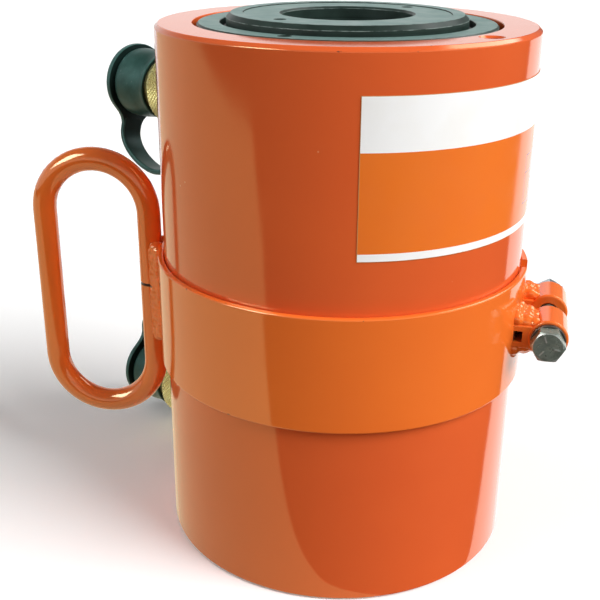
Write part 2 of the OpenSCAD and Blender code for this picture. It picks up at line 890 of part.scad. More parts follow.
module face_seal(z) {
    color(seal_black)
        at_port(z)
            o_ring((seat_r + seat_hole_r) / 2, 1.8, barrel_end_s - 0.9);
}

module poppet(z) {
    stem_r = 2.5;
    color(zinc)
        at_port(z) {
            post(poppet_r, poppet_s, poppet_s + poppet_skirt_len);
            translate([0, 0, poppet_s + poppet_skirt_len])
                cylinder(r1 = poppet_r, r2 = seat_hole_r - 0.4, h = poppet_cone_len);
            post(stem_r, poppet_s - poppet_tail_len, barrel_end_s - 1);
        }
}

// One ring of points of the spring's wire, square to the helix in the axial plane
function wire_ring(turn, mid_r, wire_r, rise, sides) = [
    for (k = [0 : sides - 1])
        let (
            a = k * 360 / sides,
            r = mid_r + wire_r * cos(a)
        )
        [r * cos(turn), r * sin(turn), rise + wire_r * sin(a)]
];

module poppet_spring(z) {
    sides = 8;
    steps = spring_turns * 16;
    wire_r = spring_wire / 2;
    mid_r = poppet_r - 1.2;
    low_s = chamber_s + wire_r;
    high_s = poppet_s - wire_r - 0.05;
    rings = [
        for (i = [0 : steps])
            wire_ring(i * 360 * spring_turns / steps, mid_r, wire_r,
                low_s + (high_s - low_s) * i / steps, sides)
    ];
    points = [for (one = rings, p = one) p];
    walls = [
        for (i = [0 : steps - 1], k = [0 : sides - 1])
            [
                i * sides + k,
                (i + 1) * sides + k,
                (i + 1) * sides + (k + 1) % sides,
                i * sides + (k + 1) % sides,
            ]
    ];
    first_end = [for (k = [0 : sides - 1]) k];
    last_end = [for (k = [sides - 1 : -1 : 0]) steps * sides + k];
    color(steel)
        at_port(z)
            polyhedron(points, concat(walls, [first_end, last_end]));
}

module retaining_ring(z) {
    slit = 4;
    color(steel)
        at_port(z)
            difference() {
                ring(barrel_r + 1.2, neck_r + run_fit, ring_s + 0.1, ring_s + ring_t - 0.1);
                translate([0, -slit / 2, ring_s - cut])
                    cube([barrel_d, slit, ring_t + 2 * cut]);
            }
}

module collar(z) {
    edge = 1;
    color(brass)
        at_port(z)
            difference() {
                rotate_extrude()
                    polygon([
                        [barrel_r + run_fit, collar_s],
                        [collar_r - edge, collar_s],
                        [collar_r, collar_s + edge],
                        [collar_r, knurl_end_s - edge],
                        [collar_r - edge, knurl_end_s],
                        [nose_r, knurl_end_s],
                        [nose_r, nose_end_s],
                        [collar_thread_r, nose_end_s],
                        [collar_thread_r, collar_step_s],
                        [barrel_r + run_fit, collar_step_s],
                    ]);
                post(barrel_r + 1.6, collar_s - cut, collar_s + collar_recess);
            }
}

// The flange's tongue, which narrows to the strap's width. down is 1 or -1
module cap_tab(z, down, roll) {
    root_w = cap_flange_r * 1.64;
    root_drop = cap_flange_r * 0.56;
    at_port(z)
        rotate([0, 0, roll])
            translate([0, 0, cap_end_s - strap_t])
                linear_extrude(height = strap_t)
                    polygon([
                        [down * root_drop, -root_w / 2],
                        [down * tab_drop, -strap_w / 2],
                        [down * tab_drop, strap_w / 2],
                        [down * root_drop, root_w / 2],
                    ]);
}

module dust_cap(z, down, roll) {
    groove = 1.2;
    grip_r = nose_r + run_fit;
    color(rubber_green)
        union() {
            at_port(z)
                rotate_extrude()
                    polygon([
                        [grip_r, cap_mouth_s],
                        [cap_mouth_r, cap_mouth_s],
                        [cap_mouth_r, cap_mouth_s + 2],
                        [cap_body_r, flange_s - groove - 5],
                        [cap_body_r, flange_s - groove],
                        [cap_body_r - groove, flange_s],
                        [cap_flange_r, flange_s],
                        [cap_flange_r, cap_end_s],
                        [0, cap_end_s],
                        [0, cap_floor_s],
                        [grip_r, cap_floor_s],
                    ]);
            cap_tab(z, down, roll);
        }
}

// A point on a cubic curve through its two end points
function on_curve(p, t) =
    pow(1 - t, 3) * p[0]
    + 3 * pow(1 - t, 2) * t * p[1]
    + 3 * (1 - t) * t * t * p[2]
    + pow(t, 3) * p[3];

// The curve's direction at the same place
function along_curve(p, t) =
    pow(1 - t, 2) * (p[1] - p[0])
    + 2 * (1 - t) * t * (p[2] - p[1])
    + t * t * (p[3] - p[2]);

// The same point, moved sideways off the curve
function beside_curve(p, t, d) =
    let (v = along_curve(p, t))
    on_curve(p, t) + d * [-v.y, v.x] / norm(v);

function strap_edge(d) = [
    for (i = [0 : strap_steps])
        beside_curve(strap_outer, i / strap_steps, d),
    for (i = [1 : strap_steps])
        beside_curve(strap_inner, i / strap_steps, d)
];

// Strap from the cap's tongue round to its eye on the neck. down is 1 or -1
module cap_strap(z, down, roll) {
    near = strap_edge(-strap_t / 2);
    far = strap_edge(strap_t / 2);
    last = len(far) - 1;
    back = [for (i = [last : -1 : 0]) far[i]];
    color(rubber_green)
        difference() {
            union() {
                in_port_plane(z, strap_w, roll)
                    scale([1, down])
                        polygon(concat(near, back));
                at_port(z)
                    post(eye_r, eye_s, eye_s + eye_t);
            }
            at_port(z)
                post(neck_r + run_fit, eye_s - cut, eye_s + eye_t + cut);
        }
}

module upper_coupler_body() {
    coupler_body(upper_port_z);
}

module upper_coupler_seat() {
    coupler_seat(upper_port_z);
}

module upper_poppet() {
    poppet(upper_port_z);
}

module upper_poppet_spring() {
    poppet_spring(upper_port_z);
}

module upper_face_seal() {
    face_seal(upper_port_z);
}

module upper_retaining_ring() {
    retaining_ring(upper_port_z);
}

module upper_collar() {
    collar(upper_port_z);
}

module upper_dust_cap() {
    dust_cap(upper_port_z, 1, upper_strap_turn);
}

module upper_cap_strap() {
    cap_strap(upper_port_z, 1, upper_strap_turn);
}

module lower_coupler_body() {
    coupler_body(lower_port_z);
}

module lower_coupler_seat() {
    coupler_seat(lower_port_z);
}

module lower_poppet() {
    poppet(lower_port_z);
}

module lower_poppet_spring() {
    poppet_spring(lower_port_z);
}

module lower_face_seal() {
    face_seal(lower_port_z);
}

module lower_retaining_ring() {
    retaining_ring(lower_port_z);
}

module lower_collar() {
    collar(lower_port_z);
}

module lower_dust_cap() {
    dust_cap(lower_port_z, -1, lower_strap_turn);
}

module lower_cap_strap() {
    cap_strap(lower_port_z, -1, lower_strap_turn);
}

cylinder_body();
center_sleeve();
sleeve_seal();
gland_nut();
gland_bearing();
rod_seal();
rod_wiper();
gland_seal();
plunger();
saddle_insert();
piston_seal();
piston_backup();
piston_bearing();
inner_seal();
inner_bearing();
carry_band();
carry_handle();
handle_weld();
front_lug();
rear_lug();
lug_weld();
clamp_bolt();
lock_washer();
clamp_nut();
rating_label();
upper_coupler_body();
upper_coupler_seat();
upper_poppet();
upper_poppet_spring();
upper_face_seal();
upper_retaining_ring();
upper_collar();
upper_dust_cap();
upper_cap_strap();
lower_coupler_body();
lower_coupler_seat();
lower_poppet();
lower_poppet_spring();
lower_face_seal();
lower_retaining_ring();
lower_collar();
lower_dust_cap();
lower_cap_strap();
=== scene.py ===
"""Looks of a hollow plunger hydraulic cylinder with a clamped carrying band.

Sizes are in millimetres, as in the part's source, and meshes in metres.
"""
import logging
import math
from dataclasses import dataclass
from enum import Enum
from typing import Any, Sequence

import bmesh
import bpy
import numpy as np
from mathutils import Matrix, Vector


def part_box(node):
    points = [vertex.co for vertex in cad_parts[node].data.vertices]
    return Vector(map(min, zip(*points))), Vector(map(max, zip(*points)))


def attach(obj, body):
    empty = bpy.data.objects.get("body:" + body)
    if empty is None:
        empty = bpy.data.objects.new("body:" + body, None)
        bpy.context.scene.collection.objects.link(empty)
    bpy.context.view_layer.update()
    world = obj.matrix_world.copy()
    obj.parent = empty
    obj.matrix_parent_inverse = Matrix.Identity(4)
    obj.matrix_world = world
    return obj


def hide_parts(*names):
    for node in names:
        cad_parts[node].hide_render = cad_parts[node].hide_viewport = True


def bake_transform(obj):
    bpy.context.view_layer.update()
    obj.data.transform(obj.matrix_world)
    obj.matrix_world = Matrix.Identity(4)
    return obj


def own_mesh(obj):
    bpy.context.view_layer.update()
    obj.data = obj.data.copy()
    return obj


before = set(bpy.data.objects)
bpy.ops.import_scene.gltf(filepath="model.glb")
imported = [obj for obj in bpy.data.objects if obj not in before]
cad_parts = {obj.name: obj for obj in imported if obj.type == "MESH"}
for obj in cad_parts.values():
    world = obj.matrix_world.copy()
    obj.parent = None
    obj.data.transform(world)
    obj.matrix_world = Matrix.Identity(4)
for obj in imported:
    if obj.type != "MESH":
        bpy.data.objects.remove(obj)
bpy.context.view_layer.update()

MM = 0.001
CM = 0.01
SHARP_DEG = 24.0
MAP_UNIT = 100.0
# rim mark for painted shade: near-black enamel in the handle's butt joint, the weld pit and the lug hollow
PAINTED_SHADE = 3.0
# rim mark for painted shade: near-black rubber in the cap's mouth, on the flange's inner face and at the
# strap's root
FOLD_SHADE = -1.0

BODY_R = 79.375
BODY_TOP = 230.5
GLAND_SEAT = 205.0
GLAND_NECK = 221.5
LABEL_WIDE = 152.0
LABEL_TALL = 61.1
WELD_GRAIN = 0.4
BAND_R = 82.375
BAND_MIDDLE = 106.8
SPLIT_TURN = -5.6
PORT_TURN = 143.8
PORT_FACE = 77.932

Colour = tuple[float, float, float]
Station = tuple[float, float, float]
Groove = tuple[float, float, float]
Pane = tuple[tuple[float, float], tuple[float, float], float]
Bead = tuple[float, float, float, tuple[float, float], float]
log = logging.getLogger("plunger_cylinder")


class Body(Enum):
    """The bodies that pieces ride on."""

    CYLINDER = "cylinder"
    RAM = "ram"


class Slot(Enum):
    """The record's names for the finishes of the dressed pieces."""

    ORANGE = "orange_paint"
    DARK_STEEL = "dark_steel"
    BRIGHT_STEEL = "bright_steel"
    ZINC = "zinc_plate"
    SEAL = "seal_rubber"
    DECAL = "decal"
    YELLOW = "yellow_plate"
    CAP = "cap_rubber"


class Cut(Enum):
    """What a cutting tool does to a piece."""

    AWAY = "DIFFERENCE"
    KEEP = "INTERSECT"


class Level(Enum):
    """The two couplers, with their height and the way the cap's strap hangs."""

    UPPER = ("upper", 188.5, 1.0, 14.0)
    LOWER = ("lower", 24.0, -1.0, 0.0)

    @property
    def prefix(self) -> str:
        """First word of the names of this coupler's nodes and bodies."""
        return self.value[0]

    @property
    def height(self) -> float:
        """Height of the coupler's axis above the floor."""
        return self.value[1]

    @property
    def down(self) -> float:
        """1 where the strap hangs down and -1 where it stands up."""
        return self.value[2]

    @property
    def roll(self) -> float:
        """Turn of the cap and its strap about the coupler's axis."""
        return self.value[3]


def srgb(red: int, green: int, blue: int) -> Colour:
    """Turn a colour as a paint chart gives it into the light's own scale.

    Args:
        red: Red, from 0 to 255.
        green: Green, from 0 to 255.
        blue: Blue, from 0 to 255.

    Returns:
        The same colour on a linear scale.
    """
    def one(value: int) -> float:
        """Turn one channel to the linear scale."""
        share = value / 255.0
        return share / 12.92 if share <= 0.04045 else ((share + 0.055) / 1.055) ** 2.4

    return one(red), one(green), one(blue)


class Graph:
    """A node tree, with short ways to add and join its nodes."""

    def __init__(self, tree: bpy.types.NodeTree) -> None:
        """Keep the tree that nodes are added to."""
        self.tree = tree

    def add(self, kind: str, inputs: dict[Any, Any] | None = None, **settings: Any) -> bpy.types.Node:
        """Add a node, set its options and fill or join its inputs.

        Args:
            kind: Blender's name of the node's type.
            inputs: Values or sockets, by the input's name or number.
            **settings: Options of the node itself.

        Returns:
            The new node.
        """
        node = self.tree.nodes.new(kind)
        for name, value in settings.items():
            setattr(node, name, value)
        for key, value in (inputs or {}).items():
            self.feed(node.inputs[key], value)
        return node

    def feed(self, socket: bpy.types.NodeSocket, value: Any) -> None:
        """Join a socket to another one, or set its plain value.

        Args:
            socket: The socket to feed.
            value: Another socket, or a plain value.
        """
        if isinstance(value, bpy.types.NodeSocket):
            self.tree.links.new(value, socket)
        else:
            socket.default_value = value

    def math(self, operation: str, *values: Any) -> bpy.types.NodeSocket:
        """Add a sum and give its result.

        Args:
            operation: Name of the sum.
            *values: Numbers or sockets.

        Returns:
            The socket that holds the result.
        """
        return self.add("ShaderNodeMath", dict(enumerate(values)), operation=operation).outputs[0]

    def between(self, value: Any, low: float, high: float) -> bpy.types.NodeSocket:
        """Give 1 where a value lies between two numbers and 0 elsewhere."""
        above = self.math("GREATER_THAN", value, low)
        return self.math("MULTIPLY", above, self.math("LESS_THAN", value, high))

    def remap(self, value: Any, low: float, high: float, to_low: Any, to_high: Any) -> bpy.types.NodeSocket:
        """Stretch a value from one range to another, and hold it there.

        Args:
            value: The socket to stretch.
            low: Start of the old range.
            high: End of the old range.
            to_low: Start of the new range, a number or a socket.
            to_high: End of the new range, a number or a socket.

        Returns:
            The socket that holds the stretched value.
        """
        inputs = {0: value, 1: low, 2: high, 3: to_low, 4: to_high}
        return self.add("ShaderNodeMapRange", inputs).outputs[0]

    def mix(self, share: Any, first: Any, second: Any) -> bpy.types.NodeSocket:
        """Mix two colours.

        Args:
            share: How much of the second one shows.
            first: Colour or socket.
            second: Colour or socket.

        Returns:
            The socket that holds the mixed colour.
        """
        def opaque(value: Any) -> Any:
            """Give a plain colour its fourth number."""
            return (*value, 1.0) if isinstance(value, tuple) else value

        inputs = {0: share, 6: opaque(first), 7: opaque(second)}
        return self.add("ShaderNodeMix", inputs, data_type="RGBA").outputs[2]

    def noise(self, where: Any, scale: float, detail: float = 3.0,
              rough: float = 0.5) -> bpy.types.NodeSocket:
        """Add cloudy noise.

        Args:
            where: The coordinates.
            scale: Cells in a metre.
            detail: Number of finer layers.
            rough: Strength of the finer layers.

        Returns:
            The socket that holds the noise.
        """
        inputs = {"Vector": where, "Scale": scale, "Detail": detail, "Roughness": rough}
        return self.add("ShaderNodeTexNoise", inputs).outputs[0]

    def lines(self, along: Any, scale: float) -> bpy.types.NodeSocket:
        """Add noise that changes along one number only, as tool marks do.

        Args:
            along: The socket that holds that number.
            scale: Marks in a metre.

        Returns:
            The socket that holds the noise.
        """
        inputs = {"W": along, "Scale": scale, "Detail": 2.0}
        return self.add("ShaderNodeTexNoise", inputs, noise_dimensions="1D").outputs[0]

    def bump(self, height: Any, distance: float, normal: Any = None) -> bpy.types.NodeSocket:
        """Turn a height into a bumped normal.

        Args:
            height: The socket that holds the height, from 0 to 1.
            distance: The height's real size in metres.
            normal: A bump underneath, where there is one.

        Returns:
            The socket that holds the normal.
        """
        inputs = {"Height": height, "Distance": distance, "Strength": 1.0}
        if normal is not None:
            inputs["Normal"] = normal
        return self.add("ShaderNodeBump", inputs).outputs[0]

    def pane(self, turn: Any, rise: Any, turns: tuple[float, float], rises: tuple[float, float],
             soft: float) -> bpy.types.NodeSocket:
        """Give where a window shows among all directions, all in degrees.

        Args:
            turn: Socket with the direction round the upright axis.
            rise: Socket with the height above the horizon.
            turns: The window's two sides.
            rises: The window's lower and upper edge.
            soft: Half the width of its soft edges.

        Returns:
            A socket that is 1 inside the window and 0 outside.
        """
        made: Any = 1.0
        for value, (low, high) in ((turn, turns), (rise, rises)):
            made = self.math("MULTIPLY", made, self.remap(value, low - soft, low + soft, 0.0, 1.0))
            made = self.math("MULTIPLY", made, self.remap(value, high - soft, high + soft, 1.0, 0.0))
        return made

    def place(self) -> bpy.types.NodeSocket:
        """Give the place on the piece, in metres."""
        return self.add("ShaderNodeTexCoord").outputs["Object"]

    def rim(self) -> bpy.types.NodeSocket:
        """Give a point's rim mark: 1 on a rubbed edge, which some finishes light as a painted highlight,
        PAINTED_SHADE for enamel painted near-black as shade in a gap or hollow, and FOLD_SHADE for rubber
        painted near-black as shade in its folds.
        """
        return self.add("ShaderNodeAttribute", attribute_name="rim").outputs["Fac"]


def empty_tree(owner: bpy.types.Material | bpy.types.World) -> Graph:
    """Clear the node tree of a material or a world, and give it as a graph.

    Args:
        owner: The material or world.

    Returns:
        Its empty tree.
    """
    owner.use_nodes = True
    owner.node_tree.nodes.clear()
    return Graph(owner.node_tree)


@dataclass(frozen=True)
class Finish:
    """One finish: its name, its colour and how it scatters light."""

    name: str
    colour: Colour
    roughness: float = 0.4
    metallic: float = 0.0
    specular: float = 0.5
    gloss: Colour = (1.0, 1.0, 1.0)

    def material(self) -> bpy.types.Material:
        """Give the finish as a material, made when it is first asked for.

        Returns:
            The material.
        """
        known = bpy.data.materials.get(self.name)
        if known is not None:
            return known
        made = bpy.data.materials.new(self.name)
        made.diffuse_color = (*self.colour, 1.0)
        graph = empty_tree(made)
        shader = graph.add("ShaderNodeBsdfPrincipled", {
            "Base Color": (*self.colour, 1.0),
            "Metallic": self.metallic,
            "Roughness": self.roughness,
            "Specular IOR Level": self.specular,
            "Specular Tint": (*self.gloss, 1.0),
        })
        graph.add("ShaderNodeOutputMaterial", {"Surface": shader.outputs[0]})
        self.dress(graph, shader)
        return made

    def coat(self, graph: Graph, shader: bpy.types.Node, colour: Any, haze: Any,
             spread: tuple[float, float], normal: Any) -> None:
        """Feed a shader its colour, its uneven roughness and its bumped surface.

        Args:
            graph: The material's node tree.
            shader: The shader to feed.
            colour: Socket with the colour.
            haze: Socket with the cloudy noise that the roughness follows.
            spread: Shares of the roughness where the noise is low and where it is high.
            normal: Socket with the bumped normal.
        """
        smooth, dull = (self.roughness * share for share in spread)
        graph.feed(shader.inputs["Base Color"], colour)
        graph.feed(shader.inputs["Roughness"], graph.remap(haze, 0.3, 0.7, smooth, dull))
        graph.feed(shader.inputs["Normal"], normal)

    def dress(self, graph: Graph, shader: bpy.types.Node) -> None:
        """Add the finish's own detail to its shader, which each kind of finish does in its own way.

        Args:
            graph: The material's node tree.
            shader: The shader to feed.
        """
        raise NotImplementedError


@dataclass(frozen=True)
class Enamel(Finish):
    """Sprayed gloss enamel over turned or rolled steel."""

    # chipped paint on edges, and painted shade where the rim mark is PAINTED_SHADE
    under: Colour = (0.035, 0.03, 0.026)
    speck: Colour = srgb(250, 214, 160)
    deep: Colour = (0.6, 0.1, 0.015)
    marks: float = 4e-6
    peel: float = 4e-6

    def dress(self, graph: Graph, shader: bpy.types.Node) -> None:
        """Add a drift in tone, specks, chipped edges, painted shade where the rim mark calls for it, orange
        peel and faint tool marks.

        Args:
            graph: The material's node tree.
            shader: The shader to feed.
        """
        where = graph.place()
        drift = graph.remap(graph.noise(where, 16.0), 0.3, 0.7, 0.0, 0.35)
        paint = graph.mix(drift, self.colour, self.deep)
        fleck = graph.add("ShaderNodeTexVoronoi", {"Vector": where, "Scale": 55.0}).outputs["Distance"]
        paint = graph.mix(graph.remap(fleck, 0.014, 0.026, 0.3, 0.0), paint, self.speck)
        wear_and_painted_light = graph.math("MULTIPLY", graph.rim(), graph.noise(where, 330.0, 4.0, 0.6))
        # painted shade: PAINTED_SHADE rim marks turn the enamel near-black, while rim 1 gives scattered chips
        paint = graph.mix(graph.remap(wear_and_painted_light, 0.66, 0.7, 0.0, 0.85), paint, self.under)
        height = graph.add("ShaderNodeSeparateXYZ", {0: where}).outputs["Z"]
        rings = graph.bump(graph.lines(height, 1100.0), self.marks)
        peel = graph.bump(graph.noise(where, 620.0, 2.0), self.peel, rings)
        self.coat(graph, shader, paint, graph.noise(where, 70.0, 4.0), (0.8, 1.25), peel)


@dataclass(frozen=True)
class TurnedSteel(Finish):
    """Steel turned on a lathe, with fine marks round the plunger's axis."""

    bright: Colour = (0.1, 0.12, 0.11)
    # rubbed steel and painted highlight on edges
    worn_and_glint: Colour = srgb(146, 160, 154)
    # colour of the painted light on faces that point up
    face: Colour = (0.15, 0.25, 0.23)
    painted_top_light: float = 0.0
    marks: float = 5e-6

    def dress(self, graph: Graph, shader: bpy.types.Node) -> None:
        """Add turning marks, cloudy oxide, painted light on the upward end faces and bright edges that are
        partly rubbed steel and partly painted highlight.

        Args:
            graph: The material's node tree.
            shader: The shader to feed.
        """
        where = graph.place()
        parts = graph.add("ShaderNodeSeparateXYZ", {0: where}).outputs
        flat = graph.add("ShaderNodeCombineXYZ", {0: parts["X"], 1: parts["Y"]}).outputs[0]
        radius = graph.add("ShaderNodeVectorMath", {0: flat}, operation="LENGTH").outputs["Value"]
        cut = graph.lines(graph.math("ADD", radius, parts["Z"]), 1500.0)
        cloud = graph.noise(where, 85.0, 5.0, 0.6)
        tone = graph.math("ADD", graph.math("MULTIPLY", cut, 0.45), graph.math("MULTIPLY", cloud, 0.55))
        metal = graph.mix(graph.remap(tone, 0.36, 0.64, 0.0, 0.6), self.colour, self.bright)
        # painted light: faces that point up are mixed towards the face colour
        facing = graph.add("ShaderNodeTexCoord").outputs["Normal"]
        upward = graph.add("ShaderNodeSeparateXYZ", {0: facing}).outputs["Z"]
        metal = graph.mix(graph.remap(upward, 0.9, 0.98, 0.0, self.painted_top_light), metal, self.face)
        # rubbed steel and painted highlight: rounded edges are lightened towards worn_and_glint
        wear_and_painted_light = graph.math("MULTIPLY", graph.rim(), graph.noise(where, 260.0, 4.0))
        metal = graph.mix(graph.remap(wear_and_painted_light, 0.36, 0.62, 0.0, 0.6), metal, self.worn_and_glint)
        fine = graph.bump(graph.noise(where, 1700.0), 3e-6)
        self.coat(graph, shader, metal, cloud, (0.8, 1.2), graph.bump(cut, self.marks, fine))


@dataclass(frozen=True)
class PlatedSteel(Finish):
    """Steel with a thin plated coat, which clouds and darkens in patches."""

    stain: Colour = (0.3, 0.3, 0.28)
    # colour of lightened edges: rubbed plating and painted highlight
    edge: Colour = (0.76, 0.79, 0.76)

    def dress(self, graph: Graph, shader: bpy.types.Node) -> None:
        """Add cloudy plating, small stains, edges lightened partly as rubbed plating and partly as painted
        highlight, and a fine pitted grain.

        Args:
            graph: The material's node tree.
            shader: The shader to feed.
        """
        where = graph.place()
        cloud = graph.noise(where, 240.0, 5.0, 0.6)
        plating = graph.mix(graph.remap(cloud, 0.42, 0.72, 0.0, 0.8), self.colour, self.stain)
        # rubbed plating and painted highlight: points with rim 1 mix towards the edge colour
        plating = graph.mix(graph.math("MULTIPLY", graph.rim(), 0.7), plating, self.edge)
        grain = graph.bump(graph.noise(where, 1500.0, 3.0), 8e-6)
        self.coat(graph, shader, plating, cloud, (0.75, 1.3), grain)


@dataclass(frozen=True)
class MouldedRubber(Finish):
    """Moulded rubber with a dull bloom and pale scuffs, and a painted sheen on its edges."""

    # colour of the cloudy film and of the painted sheen on edges
    bloom_and_sheen: Colour = (0.08, 0.12, 0.11)
    chalk: Colour = srgb(150, 160, 152)
    # colour of the painted shade in the rubber's folds
    fold_shade: Colour = (0.002, 0.004, 0.0035)
    scuff: float = 0.5

    def dress(self, graph: Graph, shader: bpy.types.Node) -> None:
        """Add bloom, scuffs, a painted sheen on the edges, painted shade in the folds and the mould's fine
        grain.

        Args:
            graph: The material's node tree.
            shader: The shader to feed.
        """
        where = graph.place()
        cloud = graph.noise(where, 75.0, 4.0, 0.6)
        rubber = graph.mix(graph.remap(cloud, 0.4, 0.75, 0.0, 0.6), self.colour, self.bloom_and_sheen)
        scrape = graph.noise(where, 520.0, 4.0, 0.7)
        patch = graph.math("MULTIPLY", graph.remap(scrape, 0.58, 0.7, 0.0, 1.0),
                           graph.remap(cloud, 0.56, 0.7, 0.0, self.scuff))
        rubber = graph.mix(patch, rubber, self.chalk)
        rim = graph.rim()
        # painted highlight: rounded edges, rim near 1, are lightened towards this colour as a sheen
        rubber = graph.mix(graph.remap(rim, 0.2, 1.0, 0.0, 0.6), rubber, self.bloom_and_sheen)
        # painted shade: rim marks from FOLD_SHADE up to 0 darken the rubber
        rubber = graph.mix(graph.remap(rim, FOLD_SHADE, 0.0, 0.85, 0.0), rubber, self.fold_shade)
        grain = graph.bump(graph.noise(where, 1900.0, 2.0), 9e-6)
        self.coat(graph, shader, rubber, cloud, (0.85, 1.25), grain)


@dataclass(frozen=True)
class PrintedVinyl(Finish):
    """Glossy vinyl label: a white header, a coloured field and a white foot line.

    The label's own map runs along its width and height, with MAP_UNIT millimetres to one.
    """

    white: Colour = srgb(254, 254, 253)
    aged: Colour = srgb(240, 235, 222)
    deep: Colour = srgb(236, 108, 42)
    ink: Colour = srgb(96, 70, 84)
    cut_edge: Colour = srgb(196, 150, 96)
    foot: float = 3.1
    header: float = 40.95
    width: float = LABEL_WIDE
    height: float = LABEL_TALL
    table: tuple[float, float, float, float] = (86.0, 10.0, 146.0, 30.1)
    table_row: float = 22.9
    columns: int = 4
    line: float = 0.2
    edge: float = 0.22

    def dress(self, graph: Graph, shader: bpy.types.Node) -> None:
        """Add the printed fields, the ruled table and faint ripples of the vinyl.

        Args:
            graph: The material's node tree.
            shader: The shader to feed.
        """
        sheet = graph.add("ShaderNodeUVMap", uv_map="sheet").outputs[0]
        parts = graph.add("ShaderNodeSeparateXYZ", {0: sheet}).outputs
        across, up = (graph.math("MULTIPLY", parts[axis], MAP_UNIT) for axis in "XY")
        where = graph.place()
        cloud = graph.noise(where, 40.0, 4.0)
        white = graph.mix(graph.remap(cloud, 0.5, 0.75, 0.0, 0.3), self.white, self.aged)
        tint = graph.mix(graph.remap(cloud, 0.3, 0.7, 0.0, 0.25), self.colour, self.deep)
        printed = graph.mix(graph.between(up, self.foot, self.header), white, tint)
        printed = graph.mix(self.ruling(graph, across, up), printed, self.ink)
        printed = graph.mix(self.border(graph, across, up), printed, self.cut_edge)
        ripple = graph.bump(graph.noise(where, 150.0, 3.0), 6e-6)
        self.coat(graph, shader, printed, graph.noise(where, 90.0), (0.8, 1.3), ripple)

    def ruling(self, graph: Graph, across: Any, up: Any) -> bpy.types.NodeSocket:
        """Give where the thin lines of the empty table run.

        Args:
            graph: The material's node tree.
            across: Socket with the place along the width, in millimetres.
            up: Socket with the place along the height, in millimetres.

        Returns:
            A socket that is 1 on a line and 0 elsewhere.
        """
        left, low, right, high = self.table
        inside = graph.math("MULTIPLY", graph.between(across, left - self.line, right + self.line),
                            graph.between(up, low - self.line, high + self.line))
        off = graph.math("SUBTRACT", across, left)
        near = graph.math("PINGPONG", off, (right - left) / self.columns)
        for row in (low, self.table_row, high):
            gap = graph.math("ABSOLUTE", graph.math("SUBTRACT", up, row))
            near = graph.math("MINIMUM", near, gap)
        return graph.math("MULTIPLY", graph.math("LESS_THAN", near, self.line), inside)

    def border(self, graph: Graph, across: Any, up: Any) -> bpy.types.NodeSocket:
        """Give where the cut edge of the vinyl shows.

        Args:
            graph: The material's node tree.
            across: Socket with the place along the width, in millimetres.
            up: Socket with the place along the height, in millimetres.

        Returns:
            A socket that is 1 along the edge and 0 elsewhere.
        """
        side = graph.math("MINIMUM", across, graph.math("SUBTRACT", self.width, across))
        end = graph.math("MINIMUM", up, graph.math("SUBTRACT", self.height, up))
        return graph.math("LESS_THAN", graph.math("MINIMUM", side, end), self.edge)


ORANGE = Enamel("orange_enamel", srgb(229, 100, 48), 0.1, specular=0.85, gloss=(1.0, 0.9, 0.5),
                deep=srgb(212, 84, 43), marks=7e-6)
ORANGE_ROLLED = Enamel("orange_enamel_rolled", srgb(245, 120, 45), 0.09, specular=1.0,
                       gloss=(1.0, 0.9, 0.58), deep=srgb(235, 106, 42), marks=2e-6, peel=7e-6)
OXIDE = TurnedSteel("black_oxide_steel", (0.009, 0.018, 0.014), 0.42, specular=0.28,
                    bright=(0.03, 0.054, 0.046), painted_top_light=0.8)
SLEEVE = TurnedSteel("honed_sleeve_steel", (0.1, 0.11, 0.105), 0.3, metallic=0.8,
                     bright=(0.2, 0.22, 0.21))
BRIGHT = PlatedSteel("bright_steel", (0.5, 0.51, 0.5), 0.28, metallic=1.0, stain=(0.32, 0.33, 0.32))
ZINC = PlatedSteel("zinc_plated_steel", (0.33, 0.4, 0.34), 0.3, metallic=0.6, stain=(0.1, 0.135, 0.11))
NUT_ZINC = PlatedSteel("blue_zinc_plated_steel", (0.5, 0.6, 0.64), 0.24, metallic=0.85,
                       stain=(0.26, 0.33, 0.36))
WASHER = PlatedSteel("dull_spring_steel", (0.1, 0.1, 0.09), 0.42, metallic=0.9,
                     stain=(0.05, 0.05, 0.045), edge=(0.15, 0.14, 0.12))
YELLOW = PlatedSteel("yellow_plated_steel", srgb(202, 197, 137), 0.33, metallic=0.55,
                     stain=srgb(182, 174, 112), edge=srgb(224, 220, 168))
CAP = MouldedRubber("cap_rubber_green", srgb(32, 60, 54), 0.4, specular=0.22, gloss=(0.6, 0.95, 0.92),
                    bloom_and_sheen=srgb(68, 104, 99))
NITRILE = MouldedRubber("nitrile_seal", srgb(24, 24, 26), 0.5, bloom_and_sheen=srgb(48, 48, 50), scuff=0.1)
BACKING = MouldedRubber("backup_ring", srgb(206, 204, 192), 0.5, bloom_and_sheen=srgb(222, 220, 210), scuff=0.0)
BRONZE = PlatedSteel("guide_bronze", srgb(186, 138, 74), 0.36, metallic=1.0, stain=srgb(140, 100, 52))
VINYL = PrintedVinyl("printed_vinyl", srgb(240, 122, 40), 0.16)


@dataclass
class Shape:
    """Points in millimetres, the faces between them, and each point's rim mark, which stands for rubbed edges
    and for painted light.
    """

    points: np.ndarray
    faces: list[tuple[int, ...]]
    rim: np.ndarray

    def placed(self, place: Matrix) -> "Shape":
        """Give a copy that is turned and moved, with the move in millimetres."""
        turn = np.array(place)
        return Shape(self.points @ turn[:3, :3].T + turn[:3, 3], self.faces, self.rim)

    def plus(self, *others: "Shape") -> "Shape":
        """Give this shape and others as one, each shell still closed on its own.

        Args:
            *others: The other shapes.

        Returns:
            The joint shape.
        """
        every = [self, *others]
        starts = np.cumsum([0] + [len(one.points) for one in every])
        faces = [tuple(i + int(start) for i in face)
                 for one, start in zip(every, starts) for face in one.faces]
        return Shape(np.concatenate([one.points for one in every]), faces,
                     np.concatenate([one.rim for one in every]))


